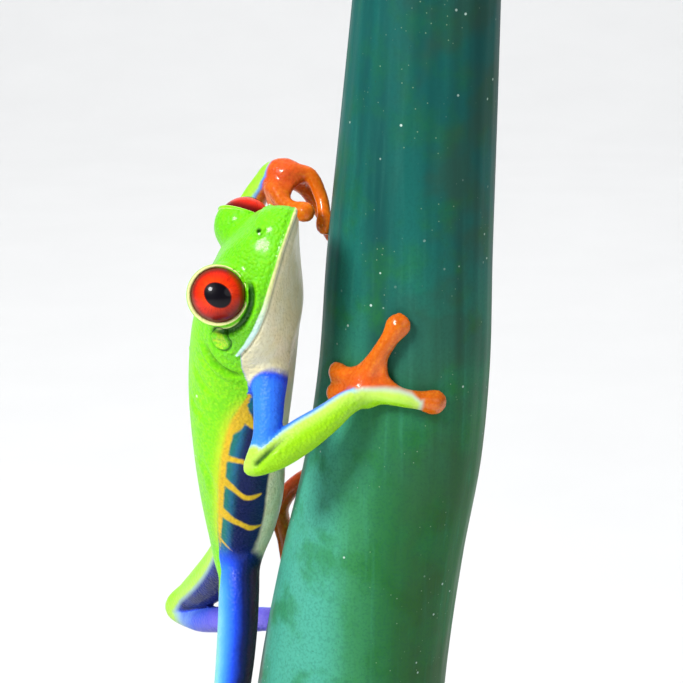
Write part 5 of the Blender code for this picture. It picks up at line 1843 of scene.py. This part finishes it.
# Soft lights on the model: way to it, distance, size
KEY_LIGHT = ((-0.62, -0.62, 0.66), 0.55, 0.16)
FILL_LIGHT = ((0.75, -0.55, 0.35), 0.8, 0.5)
TOP_LIGHT = ((0.1, 0.2, 1.0), 0.9, 0.6)
BACKDROP_LIGHT = ((0.0, -0.25, 1.0), 1.0, 1.2)
BACKDROP_HEIGHT = 0.3


def soft_light(name, target, way, distance, size, power):
    """A round soft light that faces a target from a distance."""
    lamp = bpy.data.lights.new(name, "AREA")
    lamp.shape, lamp.size, lamp.energy = "DISK", size, power
    way = Vector(way).normalized()
    light = bpy.data.objects.new(name, lamp)
    light.location = Vector(target) + way * distance
    light.rotation_euler = way.to_track_quat("Z", "Y").to_euler()
    bpy.context.scene.collection.objects.link(light)
    return light


def make_floor(size):
    """A pale sheet on the floor that curves up behind."""
    profile = [(-size / 2, 0.0), (size / 4, 0.0)]
    for step in range(1, FLOOR_STEPS + 1):
        bend = math.pi / 2 * step / FLOOR_STEPS
        profile.append((size / 4 + FLOOR_CURVE * math.sin(bend),
                        FLOOR_CURVE * (1 - math.cos(bend))))
    profile.append((size / 4 + FLOOR_CURVE, size / 2))
    points, faces = [], []
    for depth, height in profile:
        points += [(-size / 2, depth, height), (size / 2, depth, height)]
    for number in range(len(profile) - 1):
        first = 2 * number
        faces.append((first, first + 1, first + 3, first + 2))
    mesh = bpy.data.meshes.new("studio_floor")
    mesh.from_pydata(points, [], faces)
    mesh.shade_smooth()
    return show("studio_floor", mesh)


class TREEFROG_OT_stage(bpy.types.Operator):
    """Set up the pale floor, the soft lights and the camera"""
    bl_idname = "treefrog.stage"
    bl_label = "Studio"

    def execute(self, context):
        scene = context.scene
        settings = scene.treefrog_studio
        floor = make_floor(settings.floor_size)
        floor.data.materials.append(pale_floor())
        backdrop = (0.0, settings.floor_size / 4, BACKDROP_HEIGHT)
        soft_light("Key light", CAMERA_TARGET, *KEY_LIGHT, settings.key_power)
        soft_light("Fill light", CAMERA_TARGET, *FILL_LIGHT, settings.fill_power)
        top_light = soft_light("Top light", CAMERA_TARGET, *TOP_LIGHT, settings.fill_power)
        backdrop_light = soft_light("Backdrop light", backdrop, *BACKDROP_LIGHT,
                                    settings.backdrop_power)
        for light in (top_light, backdrop_light):
            light.visible_glossy = False    # they would make pale patches on the eyes
        world = bpy.data.worlds.new("Studio")
        world.use_nodes = True
        sky = world.node_tree.nodes["Background"]
        sky.inputs["Color"].default_value = SKY_COLOUR
        seen = world.node_tree.nodes.new("ShaderNodeLightPath").outputs["Is Camera Ray"]
        strength = world.node_tree.nodes.new("ShaderNodeMapRange")
        strength.inputs["To Min"].default_value = SKY_LIGHT
        strength.inputs["To Max"].default_value = SKY_SEEN
        world.node_tree.links.new(seen, strength.inputs["Value"])
        world.node_tree.links.new(strength.outputs["Result"], sky.inputs["Strength"])
        scene.world = world
        rise = math.radians(CAMERA_RISE)
        camera = bpy.data.objects.new("Camera", bpy.data.cameras.new("Camera"))
        camera.data.lens = CAMERA_LENS
        camera.data.clip_start = 0.01
        way = Vector((0.0, -math.cos(rise), math.sin(rise)))
        camera.location = Vector(CAMERA_TARGET) + way * CAMERA_DISTANCE
        camera.rotation_euler = (math.pi / 2 - rise, 0.0, 0.0)
        scene.collection.objects.link(camera)
        scene.camera = camera
        scene.view_settings.view_transform = "Standard"
        return {"FINISHED"}


class TREEFROG_PT_panel(bpy.types.Panel):
    bl_label = "Tree frog"
    bl_idname = "TREEFROG_PT_panel"
    bl_space_type = "VIEW_3D"
    bl_region_type = "UI"
    bl_category = "Tree frog"

    def draw(self, context):
        for group in (context.scene.treefrog_colours, context.scene.treefrog_studio):
            for name in group.__annotations__:
                self.layout.prop(group, name)
        for operator in OPERATORS:
            self.layout.operator(operator.bl_idname)


OPERATORS = (TREEFROG_OT_skin, TREEFROG_OT_eyes, TREEFROG_OT_stem, TREEFROG_OT_stand,
             TREEFROG_OT_stage)
CLASSES = (FrogColours, StudioSettings, *OPERATORS, TREEFROG_PT_panel)


def register():
    for one in CLASSES:
        bpy.utils.register_class(one)
    bpy.types.Scene.treefrog_colours = PointerProperty(type=FrogColours)
    bpy.types.Scene.treefrog_studio = PointerProperty(type=StudioSettings)


def unregister():
    del bpy.types.Scene.treefrog_studio
    del bpy.types.Scene.treefrog_colours
    for one in reversed(CLASSES):
        bpy.utils.unregister_class(one)


def main():
    register()
    bpy.ops.treefrog.skin()
    bpy.ops.treefrog.eyes()
    bpy.ops.treefrog.stem()
    bpy.ops.treefrog.stand()
    bpy.ops.treefrog.stage()


if __name__ == "__main__":
    main()
